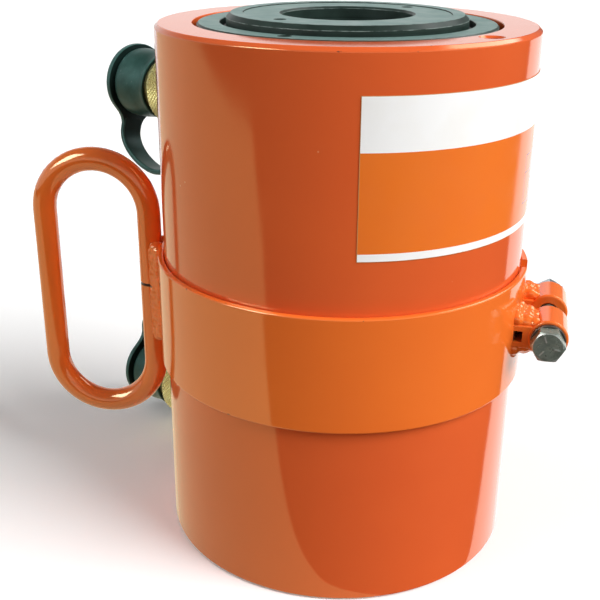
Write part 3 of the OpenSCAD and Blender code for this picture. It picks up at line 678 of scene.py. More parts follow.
def softened(corners: Sequence[Station], closed: bool = True, steps: int = 5) -> list[Station]:
    """Round the corners of an outline, with a holding point on both sides of each curve.

    Args:
        corners: First and second coordinate and the rounding of each corner.
        closed: Whether the last corner joins the first.
        steps: Faces in one rounding.

    Returns:
        The outline's points, each with its rim mark from 0 to 1, 1 on the roundings for rubbed edges and
        painted highlight.
    """
    made: list[Station] = []
    count = len(corners)
    for i, (a, b, size) in enumerate(corners):
        here = Vector((a, b))
        if size <= 0.0 or (not closed and i in (0, count - 1)):
            made.append((a, b, 0.0))
            continue
        back = Vector(corners[i - 1][:2]) - here
        on = Vector(corners[(i + 1) % count][:2]) - here
        half = back.angle(on) / 2.0
        reach = min(size / math.tan(half), 0.42 * back.length, 0.42 * on.length)
        hold = 0.12 * reach
        back.normalize()
        on.normalize()
        middle = here + (back + on).normalized() * (reach / math.cos(half))
        first, last = here + back * reach - middle, here + on * reach - middle
        sweep = first.angle(last)
        made.append((*(here + back * (reach + hold)), 0.0))
        for k in range(steps + 1):
            t = k / steps
            spoke = (first * math.sin((1 - t) * sweep) + last * math.sin(t * sweep)) / math.sin(sweep)
            made.append((*(middle + spoke), 1.0))
        made.append((*(here + on * (reach + hold)), 0.0))
    return made


def flowing(points: Sequence[tuple[float, float]], steps: int = 6) -> list[tuple[float, float]]:
    """Draw a smooth line through some points.

    Args:
        points: The points to pass through.
        steps: Pieces between two points.

    Returns:
        The points of the smooth line.
    """
    ends = [points[0], *points, points[-1]]
    line = []
    for i in range(len(points) - 1):
        p = [np.array(q, float) for q in ends[i:i + 4]]
        for k in range(steps):
            t = k / steps
            line.append(tuple(0.5 * (2 * p[1] + (p[2] - p[0]) * t
                                     + (2 * p[0] - 5 * p[1] + 4 * p[2] - p[3]) * t * t
                                     + (3 * p[1] - p[0] - 3 * p[2] + p[3]) * t ** 3)))
    return [*line, points[-1]]


def turned(outline: Sequence[Station], segments: int = 160, closed: bool = True) -> Shape:
    """Turn an outline of radius and height about the upright axis.

    Args:
        outline: Radius, height and rim mark of each point, for rubbed edges and painted light.
        segments: Faces round the axis.
        closed: Whether the outline is a loop; an open one starts and ends on the axis.

    Returns:
        The turned shape.
    """
    points: list[tuple[float, float, float]] = []
    rim: list[float] = []
    rings: list[list[int]] = []
    for radius, height, wear_and_painted_light in outline:
        start = len(points)
        count = 1 if radius < 1e-6 else segments
        for k in range(count):
            turn = 2.0 * math.pi * k / segments
            points.append((radius * math.cos(turn), radius * math.sin(turn), height))
        rim += [wear_and_painted_light] * count
        rings.append([start + k % count for k in range(segments)])
    faces = []
    pairs = list(zip(rings, rings[1:])) + ([(rings[-1], rings[0])] if closed else [])
    for low, high in pairs:
        for k in range(segments):
            m = (k + 1) % segments
            face = dict.fromkeys((low[k], low[m], high[m], high[k]))
            if len(face) > 2:
                faces.append(tuple(face))
    return Shape(np.array(points), faces, np.array(rim))


def swept(path: np.ndarray, side: Vector, section: Sequence[Station]) -> Shape:
    """Draw a section along an open, flat path.

    Args:
        path: The path's points.
        side: The direction square to the path's plane.
        section: Place in the plane, place along side, and rim mark of each point of the section, for rubbed
            edges and painted light.

    Returns:
        The swept shape, with flat ends.
    """
    count, span = len(path), len(section)
    ahead = np.gradient(path, axis=0)
    ahead /= np.linalg.norm(ahead, axis=1)[:, None]
    across = np.cross(np.array(side), ahead)
    cut = np.array(section)
    points = (path[:, None, :] + across[:, None, :] * cut[None, :, 0, None]
              + np.array(side)[None, None, :] * cut[None, :, 1, None])
    starts = range(0, (count - 1) * span, span)
    faces = [(i + k, i + (k + 1) % span, i + span + (k + 1) % span, i + span + k)
             for i in starts for k in range(span)]
    faces += [tuple(range(span)), tuple(range((count - 1) * span, count * span))]
    return Shape(points.reshape(-1, 3), faces, np.tile(cut[:, 2], count))


def slab(outline: np.ndarray, low: float, high: float, edge: float, steps: int = 4) -> Shape:
    """Make a flat plate with rounded edges.

    Args:
        outline: The outline's points, going round anticlockwise.
        low: Height of the lower face.
        high: Height of the upper face.
        edge: Rounding of both edges.
        steps: Faces in one rounding.

    Returns:
        The plate, with rim mark 1 on every point, for rubbed edges and painted highlight.
    """
    ahead = np.roll(outline, -1, 0) - np.roll(outline, 1, 0)
    ahead /= np.linalg.norm(ahead, axis=1)[:, None]
    outward = np.stack([ahead[:, 1], -ahead[:, 0]], 1)
    turns = [math.pi / 2 * k / steps for k in range(steps, -1, -1)]
    lower = [(low + edge * (1 - math.sin(t)), edge * (1 - math.cos(t))) for t in turns]
    levels = lower + [(low + high - h, inset) for h, inset in reversed(lower)]
    count = len(outline)
    points = [(*(p - n * inset), h) for h, inset in levels for p, n in zip(outline, outward)]
    faces = [(i * count + k, i * count + (k + 1) % count,
              (i + 1) * count + (k + 1) % count, (i + 1) * count + k)
             for i in range(len(levels) - 1) for k in range(count)]
    faces.append(tuple(range(count)))
    faces.append(tuple(range((len(levels) - 1) * count, len(levels) * count)))
    return Shape(np.array(points), faces, np.ones(len(points)))


def prism(sides: int, radius: float, low: float, high: float) -> Shape:
    """Make a straight bar with equal flat sides.

    Args:
        sides: Number of sides.
        radius: Radius over the corners.
        low: Height of the lower end.
        high: Height of the upper end.

    Returns:
        The bar.
    """
    turns = [2.0 * math.pi * k / sides for k in range(sides)]
    points = [(radius * math.cos(t), radius * math.sin(t), h) for h in (low, high) for t in turns]
    faces = [(k, (k + 1) % sides, sides + (k + 1) % sides, sides + k) for k in range(sides)]
    faces += [tuple(range(sides)), tuple(range(sides, 2 * sides))]
    return Shape(np.array(points), faces, np.zeros(2 * sides))


def post(radius: float, low: float, high: float, segments: int = 48) -> Shape:
    """Make a straight round tool for cutting holes."""
    return turned([(0, low, 0), (radius, low, 0), (radius, high, 0), (0, high, 0)], segments, False)


def block(half: Sequence[float]) -> Shape:
    """Make a straight box round the origin from half its length, width and height."""
    box = prism(4, math.sqrt(2.0), -1.0, 1.0).placed(turn_z(45))
    return Shape(box.points * np.array(half), box.faces, box.rim)


def sunk_hole(radius: float, top: float, depth: float, tip: float, edge: float, segments: int) -> Shape:
    """Make the tool for a drilled hole with a pointed end and a broken edge.

    Args:
        radius: The hole's radius.
        top: Height of the face that it is drilled into.
        depth: Depth of its straight part.
        tip: Depth of its pointed end.
        edge: Size of the broken edge.
        segments: Faces round it.

    Returns:
        The tool, upright on the axis.
    """
    low = top - depth
    return turned([(0, low - tip, 0), (radius, low, 0), (radius, top - edge, 0), (radius + edge, top, 0),
                   (radius + edge + 1, top + 1, 0), (0, top + 1, 0)], segments, False)


def pin_holes(radius: float, top: float, depth: float, ring: float, turn: float) -> list[Shape]:
    """Make the tools for two opposite holes that take a pin spanner.

    Args:
        radius: Radius of a hole.
        top: Height of the face that they are drilled into.
        depth: Depth of their straight part.
        ring: Their distance from the axis.
        turn: Direction of the first one.

    Returns:
        The two tools.
    """
    tool = sunk_hole(radius, top, depth, 1.0, 0.3, 40)
    return [tool.placed(turn_z(turn + half) @ shift(ring, 0, 0)) for half in (0, 180)]


def groove(wall: float, cut: Groove, corner: float = 0.1) -> list[Station]:
    """Give the four corners of a square groove in a turned outline.

    Args:
        wall: Radius of the wall that it is cut into.
        cut: Radius of its floor, and the heights where the outline reaches and leaves it.
        corner: Rounding of the corners at its floor.

    Returns:
        The corners, each with its rounding.
    """
    floor, start, end = cut
    return [(wall, start, 0.1), (floor, start, corner), (floor, end, corner), (wall, end, 0.1)]


def arc(radius: float, turns: np.ndarray, heights: Any) -> np.ndarray:
    """Give the points of an arc about the upright axis.

    Args:
        radius: The arc's radius.
        turns: Direction of each point, in radians.
        heights: One height for all points, or one for each.

    Returns:
        The points.
    """
    return np.stack([radius * np.cos(turns), radius * np.sin(turns), np.full(len(turns), heights)], 1)


def bezier(points: Sequence[Sequence[float]], share: float) -> np.ndarray:
    """Give a point of a curve that is drawn by two ends and their handles.

    Args:
        points: First end, its handle, the other handle and the other end.
        share: How far along the curve the point lies, from 0 to 1.

    Returns:
        The point.
    """
    a, b, c, d = (np.array(point, float) for point in points)
    t = share
    return (1 - t) ** 3 * a + 3 * (1 - t) ** 2 * t * b + 3 * (1 - t) * t * t * c + t ** 3 * d


def rounded_bar(width: float, depth: float, edge: float, steps: int = 4) -> list[Station]:
    """Give the section of a flat bar with rounded corners."""
    w, d = width / 2.0, depth / 2.0
    return softened([(-w, -d, edge), (w, -d, edge), (w, d, edge), (-w, d, edge)], True, steps)


def circle(radius: float, count: int) -> list[Station]:
    """Give the section of a round bar."""
    turns = [2.0 * math.pi * k / count for k in range(count)]
    return [(radius * math.cos(t), radius * math.sin(t), 0.0) for t in turns]


def settle_mesh(mesh: bpy.types.Mesh) -> None:
    """Merge doubles, turn faces outwards and mark the sharp edges of a mesh.

    Args:
        mesh: The mesh.
    """
    work = bmesh.new()
    work.from_mesh(mesh)
    bmesh.ops.remove_doubles(work, verts=work.verts, dist=1e-7)
    bmesh.ops.recalc_face_normals(work, faces=work.faces)
    work.to_mesh(mesh)
    work.free()
    mesh.shade_smooth()
    mesh.set_sharp_from_angle(angle=math.radians(SHARP_DEG))
    mesh.update()


def add_object(name: str, data: bpy.types.ID) -> bpy.types.Object:
    """Put a mesh, a camera or a lamp into the scene.

    Args:
        name: The object's name.
        data: What it holds.

    Returns:
        The object.
    """
    obj = bpy.data.objects.new(name, data)
    bpy.context.scene.collection.objects.link(obj)
    return obj


def make_object(name: str, shape: Shape) -> bpy.types.Object:
    """Turn a shape into an object at the origin.

    Args:
        name: The object's name.
        shape: The shape, in millimetres.

    Returns:
        The object, with its place in its mesh.
    """
    mesh = bpy.data.meshes.new(name)
    mesh.from_pydata((shape.points * MM).tolist(), [], shape.faces)
    wear_and_painted_light = mesh.attributes.new("rim", "FLOAT", "POINT")
    wear_and_painted_light.data.foreach_set("value", shape.rim.astype(np.float32))
    settle_mesh(mesh)
    return add_object(name, mesh)


def bake_modifiers(obj: bpy.types.Object) -> None:
    """Replace an object's mesh by what its modifiers make of it, and remove them.

    Args:
        obj: The object.
    """
    view = bpy.context.evaluated_depsgraph_get()
    mesh = bpy.data.meshes.new_from_object(
        obj.evaluated_get(view), preserve_all_data_layers=True, depsgraph=view)
    obj.modifiers.clear()
    obj.data = mesh
    settle_mesh(mesh)


def carve(obj: bpy.types.Object, tools: Sequence[Shape], how: Cut = Cut.AWAY) -> bpy.types.Object:
    """Cut an object with some tools.

    Args:
        obj: The object to cut.
        tools: The tools' shapes.
        how: Whether a tool cuts away or keeps what lies in it.

    Returns:
        The same object.
    """
    cutters = [make_object(f"{obj.name}_tool", tool) for tool in tools]
    for cutter in cutters:
        step = obj.modifiers.new("cut", "BOOLEAN")
        step.operation, step.solver, step.object = how.value, "EXACT", cutter
    bake_modifiers(obj)
    for cutter in cutters:
        bpy.data.objects.remove(cutter, do_unlink=True)
    return obj


def grow(obj: bpy.types.Object, tree: bpy.types.NodeTree, **sizes: Any) -> bpy.types.Object:
    """Run a geometry tree on an object and keep the plain mesh that it makes.

    Args:
        obj: The object that holds the tree's starting mesh.
        tree: The geometry tree.
        **sizes: The tree's named inputs.

    Returns:
        The same object.
    """
    step = obj.modifiers.new(tree.name, "NODES")
    step.node_group = tree
    for item in tree.interface.items_tree:
        if item.item_type == "SOCKET" and item.in_out == "INPUT" and item.name in sizes:
            step[item.identifier] = sizes[item.name]
    bake_modifiers(obj)
    return obj


def melt(obj: bpy.types.Object, grain: float, rounds: int) -> bpy.types.Object:
    """Run the beads of a weld together into one skin.

    Args:
        obj: The beads, as one object.
        grain: Size of the skin's faces, in millimetres.
        rounds: How often the skin is smoothed.

    Returns:
        The same object.
    """
    skin = obj.modifiers.new("skin", "REMESH")
    skin.mode, skin.voxel_size = "VOXEL", grain * MM
    soft = obj.modifiers.new("soft", "SMOOTH")
    soft.factor, soft.iterations = 0.5, rounds
    bake_modifiers(obj)
    obj.data.set_sharp_from_angle(angle=math.pi)
    return obj


def join(first: bpy.types.Object, *others: bpy.types.Object) -> bpy.types.Object:
    """Put the meshes of other objects into the first one and remove them.

    Args:
        first: The object that stays.
        *others: The objects that go.

    Returns:
        The first object.
    """
    work = bmesh.new()
    for one in (first, *others):
        work.from_mesh(one.data)
    work.to_mesh(first.data)
    work.free()
    for one in others:
        bpy.data.objects.remove(one, do_unlink=True)
    first.data.shade_smooth()
    first.data.set_sharp_from_angle(angle=math.radians(SHARP_DEG))
    return first


def dress_object(obj: bpy.types.Object, finish: Finish) -> None:
    """Give an object one finish all over."""
    obj.data.materials.clear()
    obj.data.materials.append(finish.material())


def settle(obj: bpy.types.Object, finish: Finish, node: str,
           body: str = Body.CYLINDER.value) -> None:
    """Dress a piece, let it ride on its body, and hide the solid that it replaces.

    Args:
        obj: The piece.
        finish: Its finish.
        node: The solid that it replaces.
        body: The body that it rides on.
    """
    dress_object(obj, finish)
    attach(obj, body)
    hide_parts(node)
    log.info("%s: %d faces, rides on %s", obj.name, len(obj.data.polygons), body)


class Trees:
    """Geometry trees for what repeats or follows a path, each built once."""

    def __init__(self) -> None:
        """Build every tree."""
        self.knurl = self.make_knurl()
        self.bead = self.make_bead()
        self.coil = self.make_coil()

    @staticmethod
    def start(name: str, sockets: dict[str, str]) -> tuple[Graph, dict[str, bpy.types.NodeSocket]]:
        """Begin a tree with named inputs and one geometry output.

        Args:
            name: The tree's name.
            sockets: The type of each input, by name.

        Returns:
            The tree's graph, and its inputs as sockets by name.
        """
        tree = bpy.data.node_groups.new(name, "GeometryNodeTree")
        for label, kind in sockets.items():
            tree.interface.new_socket(name=label, in_out="INPUT", socket_type=f"NodeSocket{kind}")
        tree.interface.new_socket(name="Geometry", in_out="OUTPUT", socket_type="NodeSocketGeometry")
        graph = Graph(tree)
        source = graph.add("NodeGroupInput")
        return graph, {label: source.outputs[label] for label in sockets}

    @staticmethod
    def end(graph: Graph, shape: bpy.types.NodeSocket, finish: bpy.types.NodeSocket) -> bpy.types.NodeTree:
        """End a tree with real geometry in one finish.

        Args:
            graph: The tree's graph.
            shape: What the tree made.
            finish: The input that holds the material.

        Returns:
            The finished tree.
        """
        real = graph.add("GeometryNodeRealizeInstances", {0: shape}).outputs[0]
        dressed = graph.add("GeometryNodeSetMaterial", {"Geometry": real, "Material": finish})
        graph.add("NodeGroupOutput", {0: dressed.outputs[0]})
        return graph.tree

    def make_knurl(self) -> bpy.types.NodeTree:
        """Build the tree that sets rows of diamond teeth round a turned collar.

        Returns:
            The tree.
        """
        graph, given = self.start("diamond_knurl", {
            "Geometry": "Geometry", "Radius": "Float", "Start": "Float", "Length": "Float",
            "Tooth": "Float", "Around": "Int", "Rows": "Int", "Finish": "Material"})
        index = graph.add("GeometryNodeInputIndex").outputs[0]
        row = graph.math("FLOOR", graph.math("DIVIDE", index, given["Around"]))
        column = graph.math("MODULO", index, given["Around"])
        offset = graph.math("MULTIPLY", graph.math("MODULO", row, 2.0), 0.5)
        pitch = graph.math("DIVIDE", 2.0 * math.pi, given["Around"])
        turn = graph.math("MULTIPLY", graph.math("ADD", column, offset), pitch)
        step = graph.math("DIVIDE", given["Length"], given["Rows"])
        along = graph.math("ADD", given["Start"], graph.math("MULTIPLY", graph.math("ADD", row, 0.5), step))
        spot = graph.add("ShaderNodeCombineXYZ", {
            0: graph.math("MULTIPLY", given["Radius"], graph.math("COSINE", turn)),
            1: graph.math("MULTIPLY", given["Radius"], graph.math("SINE", turn)),
            2: along}).outputs[0]
        count = graph.math("MULTIPLY", given["Around"], given["Rows"])
        points = graph.add("GeometryNodePoints", {"Count": count, "Position": spot}).outputs[0]
        tooth = graph.add("GeometryNodeMeshCone", {
            "Vertices": 4, "Radius Top": 0.0, "Radius Bottom": 1.0, "Depth": 1.0}).outputs["Mesh"]
        face = graph.add("ShaderNodeCombineXYZ", {1: math.pi / 2.0, 2: turn}).outputs[0]
        half = graph.math("MULTIPLY", graph.math("MULTIPLY", given["Radius"], pitch), 0.5)
        size = graph.add("ShaderNodeCombineXYZ", {0: step, 1: half, 2: given["Tooth"]}).outputs[0]
        teeth = graph.add("GeometryNodeInstanceOnPoints", {
            "Points": points, "Instance": tooth, "Rotation": face, "Scale": size}).outputs[0]
        whole = graph.add("GeometryNodeJoinGeometry")
        graph.tree.links.new(given["Geometry"], whole.inputs[0])
        graph.tree.links.new(teeth, whole.inputs[0])
        return self.end(graph, whole.outputs[0], given["Finish"])

    def make_bead(self) -> bpy.types.NodeTree:
        """Build the tree that lays a rippled, lumpy weld bead along a line of points.

        Returns:
            The tree.
        """
        graph, given = self.start("weld_bead", {
            "Geometry": "Geometry", "Radius": "Float", "Ripple": "Float", "Pitch": "Float",
            "Lump": "Float", "Seed": "Float", "Finish": "Material"})
        line = graph.add("GeometryNodeMeshToCurve", {0: given["Geometry"]}).outputs[0]
        line = graph.add("GeometryNodeCurveSplineType", {0: line}, spline_type="CATMULL_ROM").outputs[0]
        line = graph.add("GeometryNodeResampleCurve", {"Curve": line, "Length": 0.4 * MM},
                         mode="LENGTH").outputs[0]
        place = graph.add("GeometryNodeSplineParameter").outputs
        wave = graph.math("ABSOLUTE", graph.math("SINE", graph.math(
            "MULTIPLY", graph.math("DIVIDE", place["Length"], given["Pitch"]), math.pi)))
        ripple = graph.math("ADD", graph.math("MULTIPLY", wave, given["Ripple"]), 1.0)
        near_end = graph.math("MINIMUM", place["Factor"], graph.math("SUBTRACT", 1.0, place["Factor"]))
        whole = graph.add("GeometryNodeSplineLength").outputs["Length"]
        reach = graph.math("DIVIDE", graph.math("MULTIPLY", near_end, whole), given["Radius"])
        left = graph.math("SUBTRACT", 1.0, graph.math("MINIMUM", reach, 1.0))
        taper = graph.math("SQRT", graph.math("SUBTRACT", 1.01, graph.math("MULTIPLY", left, left)))
        ring = graph.add("GeometryNodeCurvePrimitiveCircle", {
            "Resolution": 18, "Radius": given["Radius"]}).outputs["Curve"]
        bead = graph.add("GeometryNodeCurveToMesh", {
            "Curve": line, "Profile Curve": ring, "Scale": graph.math("MULTIPLY", ripple, taper),
            "Fill Caps": True}).outputs[0]
        cloud = graph.add("ShaderNodeTexNoise", {
            "W": given["Seed"], "Scale": 260.0, "Detail": 2.0}, noise_dimensions="4D").outputs["Color"]
        even = graph.add("ShaderNodeVectorMath", {0: cloud, 1: (0.5, 0.5, 0.5)}, operation="SUBTRACT")
        push = graph.add("ShaderNodeVectorMath", {0: even.outputs[0], "Scale": given["Lump"]},
                         operation="SCALE").outputs[0]
        bead = graph.add("GeometryNodeSetPosition", {"Geometry": bead, "Offset": push}).outputs[0]
        return self.end(graph, bead, given["Finish"])

    def make_coil(self) -> bpy.types.NodeTree:
        """Build the tree that winds a ridge or a wire into a screw line.

        Returns:
            The tree.
        """
        graph, given = self.start("screw_line", {
            "Geometry": "Geometry", "Radius": "Float", "Length": "Float", "Turns": "Float",
            "Wire": "Float", "Corners": "Int", "Finish": "Material"})
        line = graph.add("GeometryNodeCurveSpiral", {
            "Resolution": 40, "Rotations": given["Turns"], "Start Radius": given["Radius"],
            "End Radius": given["Radius"], "Height": given["Length"]}).outputs[0]
        ring = graph.add("GeometryNodeCurvePrimitiveCircle", {
            "Resolution": given["Corners"], "Radius": given["Wire"]}).outputs["Curve"]
        wire = graph.add("GeometryNodeCurveToMesh", {
            "Curve": line, "Profile Curve": ring, "Scale": 1.0, "Fill Caps": True}).outputs[0]
        return self.end(graph, wire, given["Finish"])


def line_object(name: str, points: Sequence[Sequence[float]]) -> bpy.types.Object:
    """Make an object that holds only a line of points, for a tree to follow.

    Args:
        name: The object's name.
        points: The points, in millimetres.

    Returns:
        The object.
    """
    mesh = bpy.data.meshes.new(name)
    ends = [(i, i + 1) for i in range(len(points) - 1)]
    mesh.from_pydata([tuple(c * MM for c in p) for p in points], ends, [])
    return add_object(name, mesh)


def turn_z(degrees: float) -> Matrix:
    """Give a turn about the upright axis."""
    return Matrix.Rotation(math.radians(degrees), 4, "Z")


def shift(x: float, y: float, z: float) -> Matrix:
    """Give a move in millimetres."""
    return Matrix.Translation((x, y, z))


def to_metres(place: Matrix) -> Matrix:
    """Give the same place with its move in metres.

    Args:
        place: The place, in millimetres.

    Returns:
        The place in metres.
    """
    made = place.copy()
    made.translation *= MM
    return made


@dataclass
class CylinderShell:
    """The painted body and the steel sleeve through its middle."""

    body_r: float = BODY_R
    height: float = BODY_TOP
    bore_r: float = 60.325
    thread_r: float = 63.5
    thread_z: float = GLAND_SEAT
    ring_r: float = 63.95
    ring_z: float = GLAND_NECK
    base: float = 20.0
    sleeve_r: float = 34.925
    hole_r: float = 27.0
    sleeve_top: float = 211.2
    top_chamfer: float = 1.5
    foot_chamfer: float = 0.8
    fit: float = 0.05
    lift_r: float = 70.875
    lift_turn: float = -36.0
    lift_hole: float = 4.25
    lift_depth: float = 22.0
    lift_tip: float = 2.5
    lift_edge: float = 0.8
    spot_r: float = 15.064
    spot_over: float = 2.0

    def build(self) -> None:
        """Make the body with its lifting hole and the couplers' flat seats, and the sleeve."""
        seat = self.sleeve_r + self.fit
        outline = softened([
            (seat, 0.0, 0.3),
            (self.body_r - self.foot_chamfer, 0.0, 0.5),
            (self.body_r, self.foot_chamfer, 0.5),
            (self.body_r, self.height - self.top_chamfer, 0.8),
            (self.body_r - self.top_chamfer, self.height, 0.8),
            (self.ring_r, self.height, 0.45),
            (self.ring_r, self.ring_z, 0.3),
            (self.thread_r, self.ring_z, 0.2),
            (self.thread_r, self.thread_z, 0.0),
            (self.bore_r, self.thread_z, 0.0),
            (self.bore_r, self.base, 0.5),
            (seat, self.base, 0.3),
        ])
        body = make_object("body_shell", turned(outline, 256))
        lift = sunk_hole(self.lift_hole, self.height, self.lift_depth, self.lift_tip, self.lift_edge, 48)
        spot = post(self.spot_r, PORT_FACE, self.body_r + self.spot_over, 64)
        carve(body, [lift.placed(turn_z(self.lift_turn) @ shift(self.lift_r, 0, 0)),
                     *(spot.placed(port_place(level)) for level in Level)])
        settle(body, ORANGE, "cylinder_body")
        tube = softened([(self.hole_r, 0.0, 0.6), (self.sleeve_r, 0.0, 0.4),
                         (self.sleeve_r, self.sleeve_top, 0.6), (self.hole_r, self.sleeve_top, 0.8)])
        sleeve = make_object("sleeve_tube", turned(tube, 128))
        settle(sleeve, SLEEVE, "center_sleeve")


def port_place(level: Level) -> Matrix:
    """Give the place of a coupler, whose own axis runs outwards and whose first side is down.

    Args:
        level: Which coupler.

    Returns:
        The place, in millimetres.
    """
    return turn_z(PORT_TURN) @ shift(0, 0, level.height) @ Matrix.Rotation(math.pi / 2, 4, "Y")


@dataclass
class Gland:
    """The screwed gland round the plunger, and the wiper in its mouth."""

    rod_hole: float = 50.35
    skirt_r: float = 56.5
    skirt_z: float = 181.6
    pilot_r: float = 60.275
    pilot_z: float = 193.0
    thread_r: float = 63.45
    top_r: float = 62.1
    top_z: float = BODY_TOP
    chamfer: float = 0.8
    wiper_r: float = 52.65
    wiper_z: float = 224.5
    wiper_fit: float = 0.1
    lip_r: float = 50.06
    lip_tip_r: float = 50.95
    lip_z: float = 227.3
    lip_top: float = 228.6
    seal_groove: Groove = (55.65, 213.6, 207.0)
    guide_groove: Groove = (52.65, 201.0, 191.0)
    pin_r: float = 55.9
    pin_hole: float = 2.5
    pin_depth: float = 8.0
    pin_turn: float = -109.0
    slots: int = 6
    slot_half: tuple[float, float, float] = (4.6, 4.0, 3.0)
    slot_r: float = 53.4
    slot_z: float = 183.6

    def build(self) -> None:
        """Make the gland with its spanner holes and oil slots, and the wiper."""
        r = self.rod_hole
        outline = softened([
            (r, self.skirt_z, 0.3), (self.skirt_r, self.skirt_z, 0.4), (self.skirt_r, self.pilot_z, 0.3),
            (self.pilot_r, self.pilot_z, 0.6), (self.pilot_r, GLAND_SEAT, 0.2),
            (self.thread_r, GLAND_SEAT, 0.6), (self.thread_r, GLAND_NECK, 0.4), (self.top_r, GLAND_NECK, 0.2),
            (self.top_r, self.top_z - self.chamfer, 0.3), (self.top_r - self.chamfer, self.top_z, 0.3),
            (self.wiper_r, self.top_z, 0.35), (self.wiper_r, self.wiper_z, 0.1), (r, self.wiper_z, 0.2),
            *groove(r, self.seal_groove), *groove(r, self.guide_groove),
        ])
        gland = make_object("gland_ring", turned(outline, 192))
        pins = pin_holes(self.pin_hole, self.top_z, self.pin_depth, self.pin_r, self.pin_turn)
        slot = block(self.slot_half)
        slots = [slot.placed(turn_z(PORT_TURN + i * 360 / self.slots) @ shift(self.slot_r, 0, self.slot_z))
                 for i in range(self.slots)]
        carve(gland, [*pins, *slots])
        settle(gland, OXIDE, "gland_nut")
        outer = self.wiper_r - self.wiper_fit
        lip = softened([(self.lip_r, self.wiper_z, 0.1), (outer, self.wiper_z, 0.1), (outer, self.lip_z, 0.3),
                        (self.lip_tip_r, self.lip_top, 0.25), (self.lip_r, self.lip_top, 0.15)])
        wiper = make_object("wiper_lip", turned(lip, 192))
        settle(wiper, NITRILE, "rod_wiper")


@dataclass
class Ram:
    """The hollow plunger with its piston, and the insert in its end."""

    plunger_r: float = 50.0
    tube_r: float = 37.0
    piston_r: float = 59.975
    piston_hole: float = 35.275
    foot_r: float = 53.975
    foot_z: float = 20.3
    foot_top: float = 28.3
    piston_top: float = 54.3
    seal_groove: Groove = (54.825, 31.8, 39.8)
    guide_groove: Groove = (57.525, 42.8, 49.3)
    sleeve_guide_groove: Groove = (37.425, 47.3, 40.3)
    sleeve_seal_groove: Groove = (39.225, 36.3, 30.3)
    top_z: float = 234.2
    chamfer: float = 1.9
    insert_r: float = 43.0
    insert_z: float = 214.2
    insert_top: float = 233.8
    insert_hole: float = 27.2
    insert_chamfer: float = 0.9
    fit: float = 0.05
    pin_r: float = 37.5
    pin_hole: float = 2.3
    pin_depth: float = 7.0
    pin_turn: float = -129.0

    def build(self) -> None:
        """Make the plunger and the insert."""
        p, h = self.piston_r, self.piston_hole
        outline = softened([
            (h, self.foot_z, 0.4), (self.foot_r, self.foot_z, 0.6), (self.foot_r, self.foot_top, 0.3),
            (p, self.foot_top, 0.6), *groove(p, self.seal_groove, 0.2), *groove(p, self.guide_groove, 0.2),
            (p, self.piston_top, 0.8), (self.plunger_r, self.piston_top, 0.5),
            (self.plunger_r, self.top_z - self.chamfer, 0.4),
            (self.plunger_r - self.chamfer, self.top_z, 0.4),
            (self.insert_r, self.top_z, 0.2), (self.insert_r, self.insert_z, 0.2),
            (self.tube_r, self.insert_z, 0.4), (self.tube_r, self.piston_top, 0.3), (h, self.piston_top, 0.2),
            *groove(h, self.sleeve_guide_groove), *groove(h, self.sleeve_seal_groove),
        ])
        plunger = make_object("plunger_tube", turned(outline, 192))
        settle(plunger, OXIDE, "plunger", Body.RAM.value)
        hole, top, outer = self.insert_hole, self.insert_top, self.insert_r - self.fit
        ring = softened([(hole, self.insert_z, 0.3), (outer, self.insert_z, 0.3), (outer, top, 0.25),
                         (hole + self.insert_chamfer, top, 0.3), (hole, top - self.insert_chamfer, 0.3)])
        insert = make_object("insert_ring", turned(ring, 160))
        carve(insert, pin_holes(self.pin_hole, top, self.pin_depth, self.pin_r, self.pin_turn))
        settle(insert, OXIDE, "saddle_insert", Body.RAM.value)


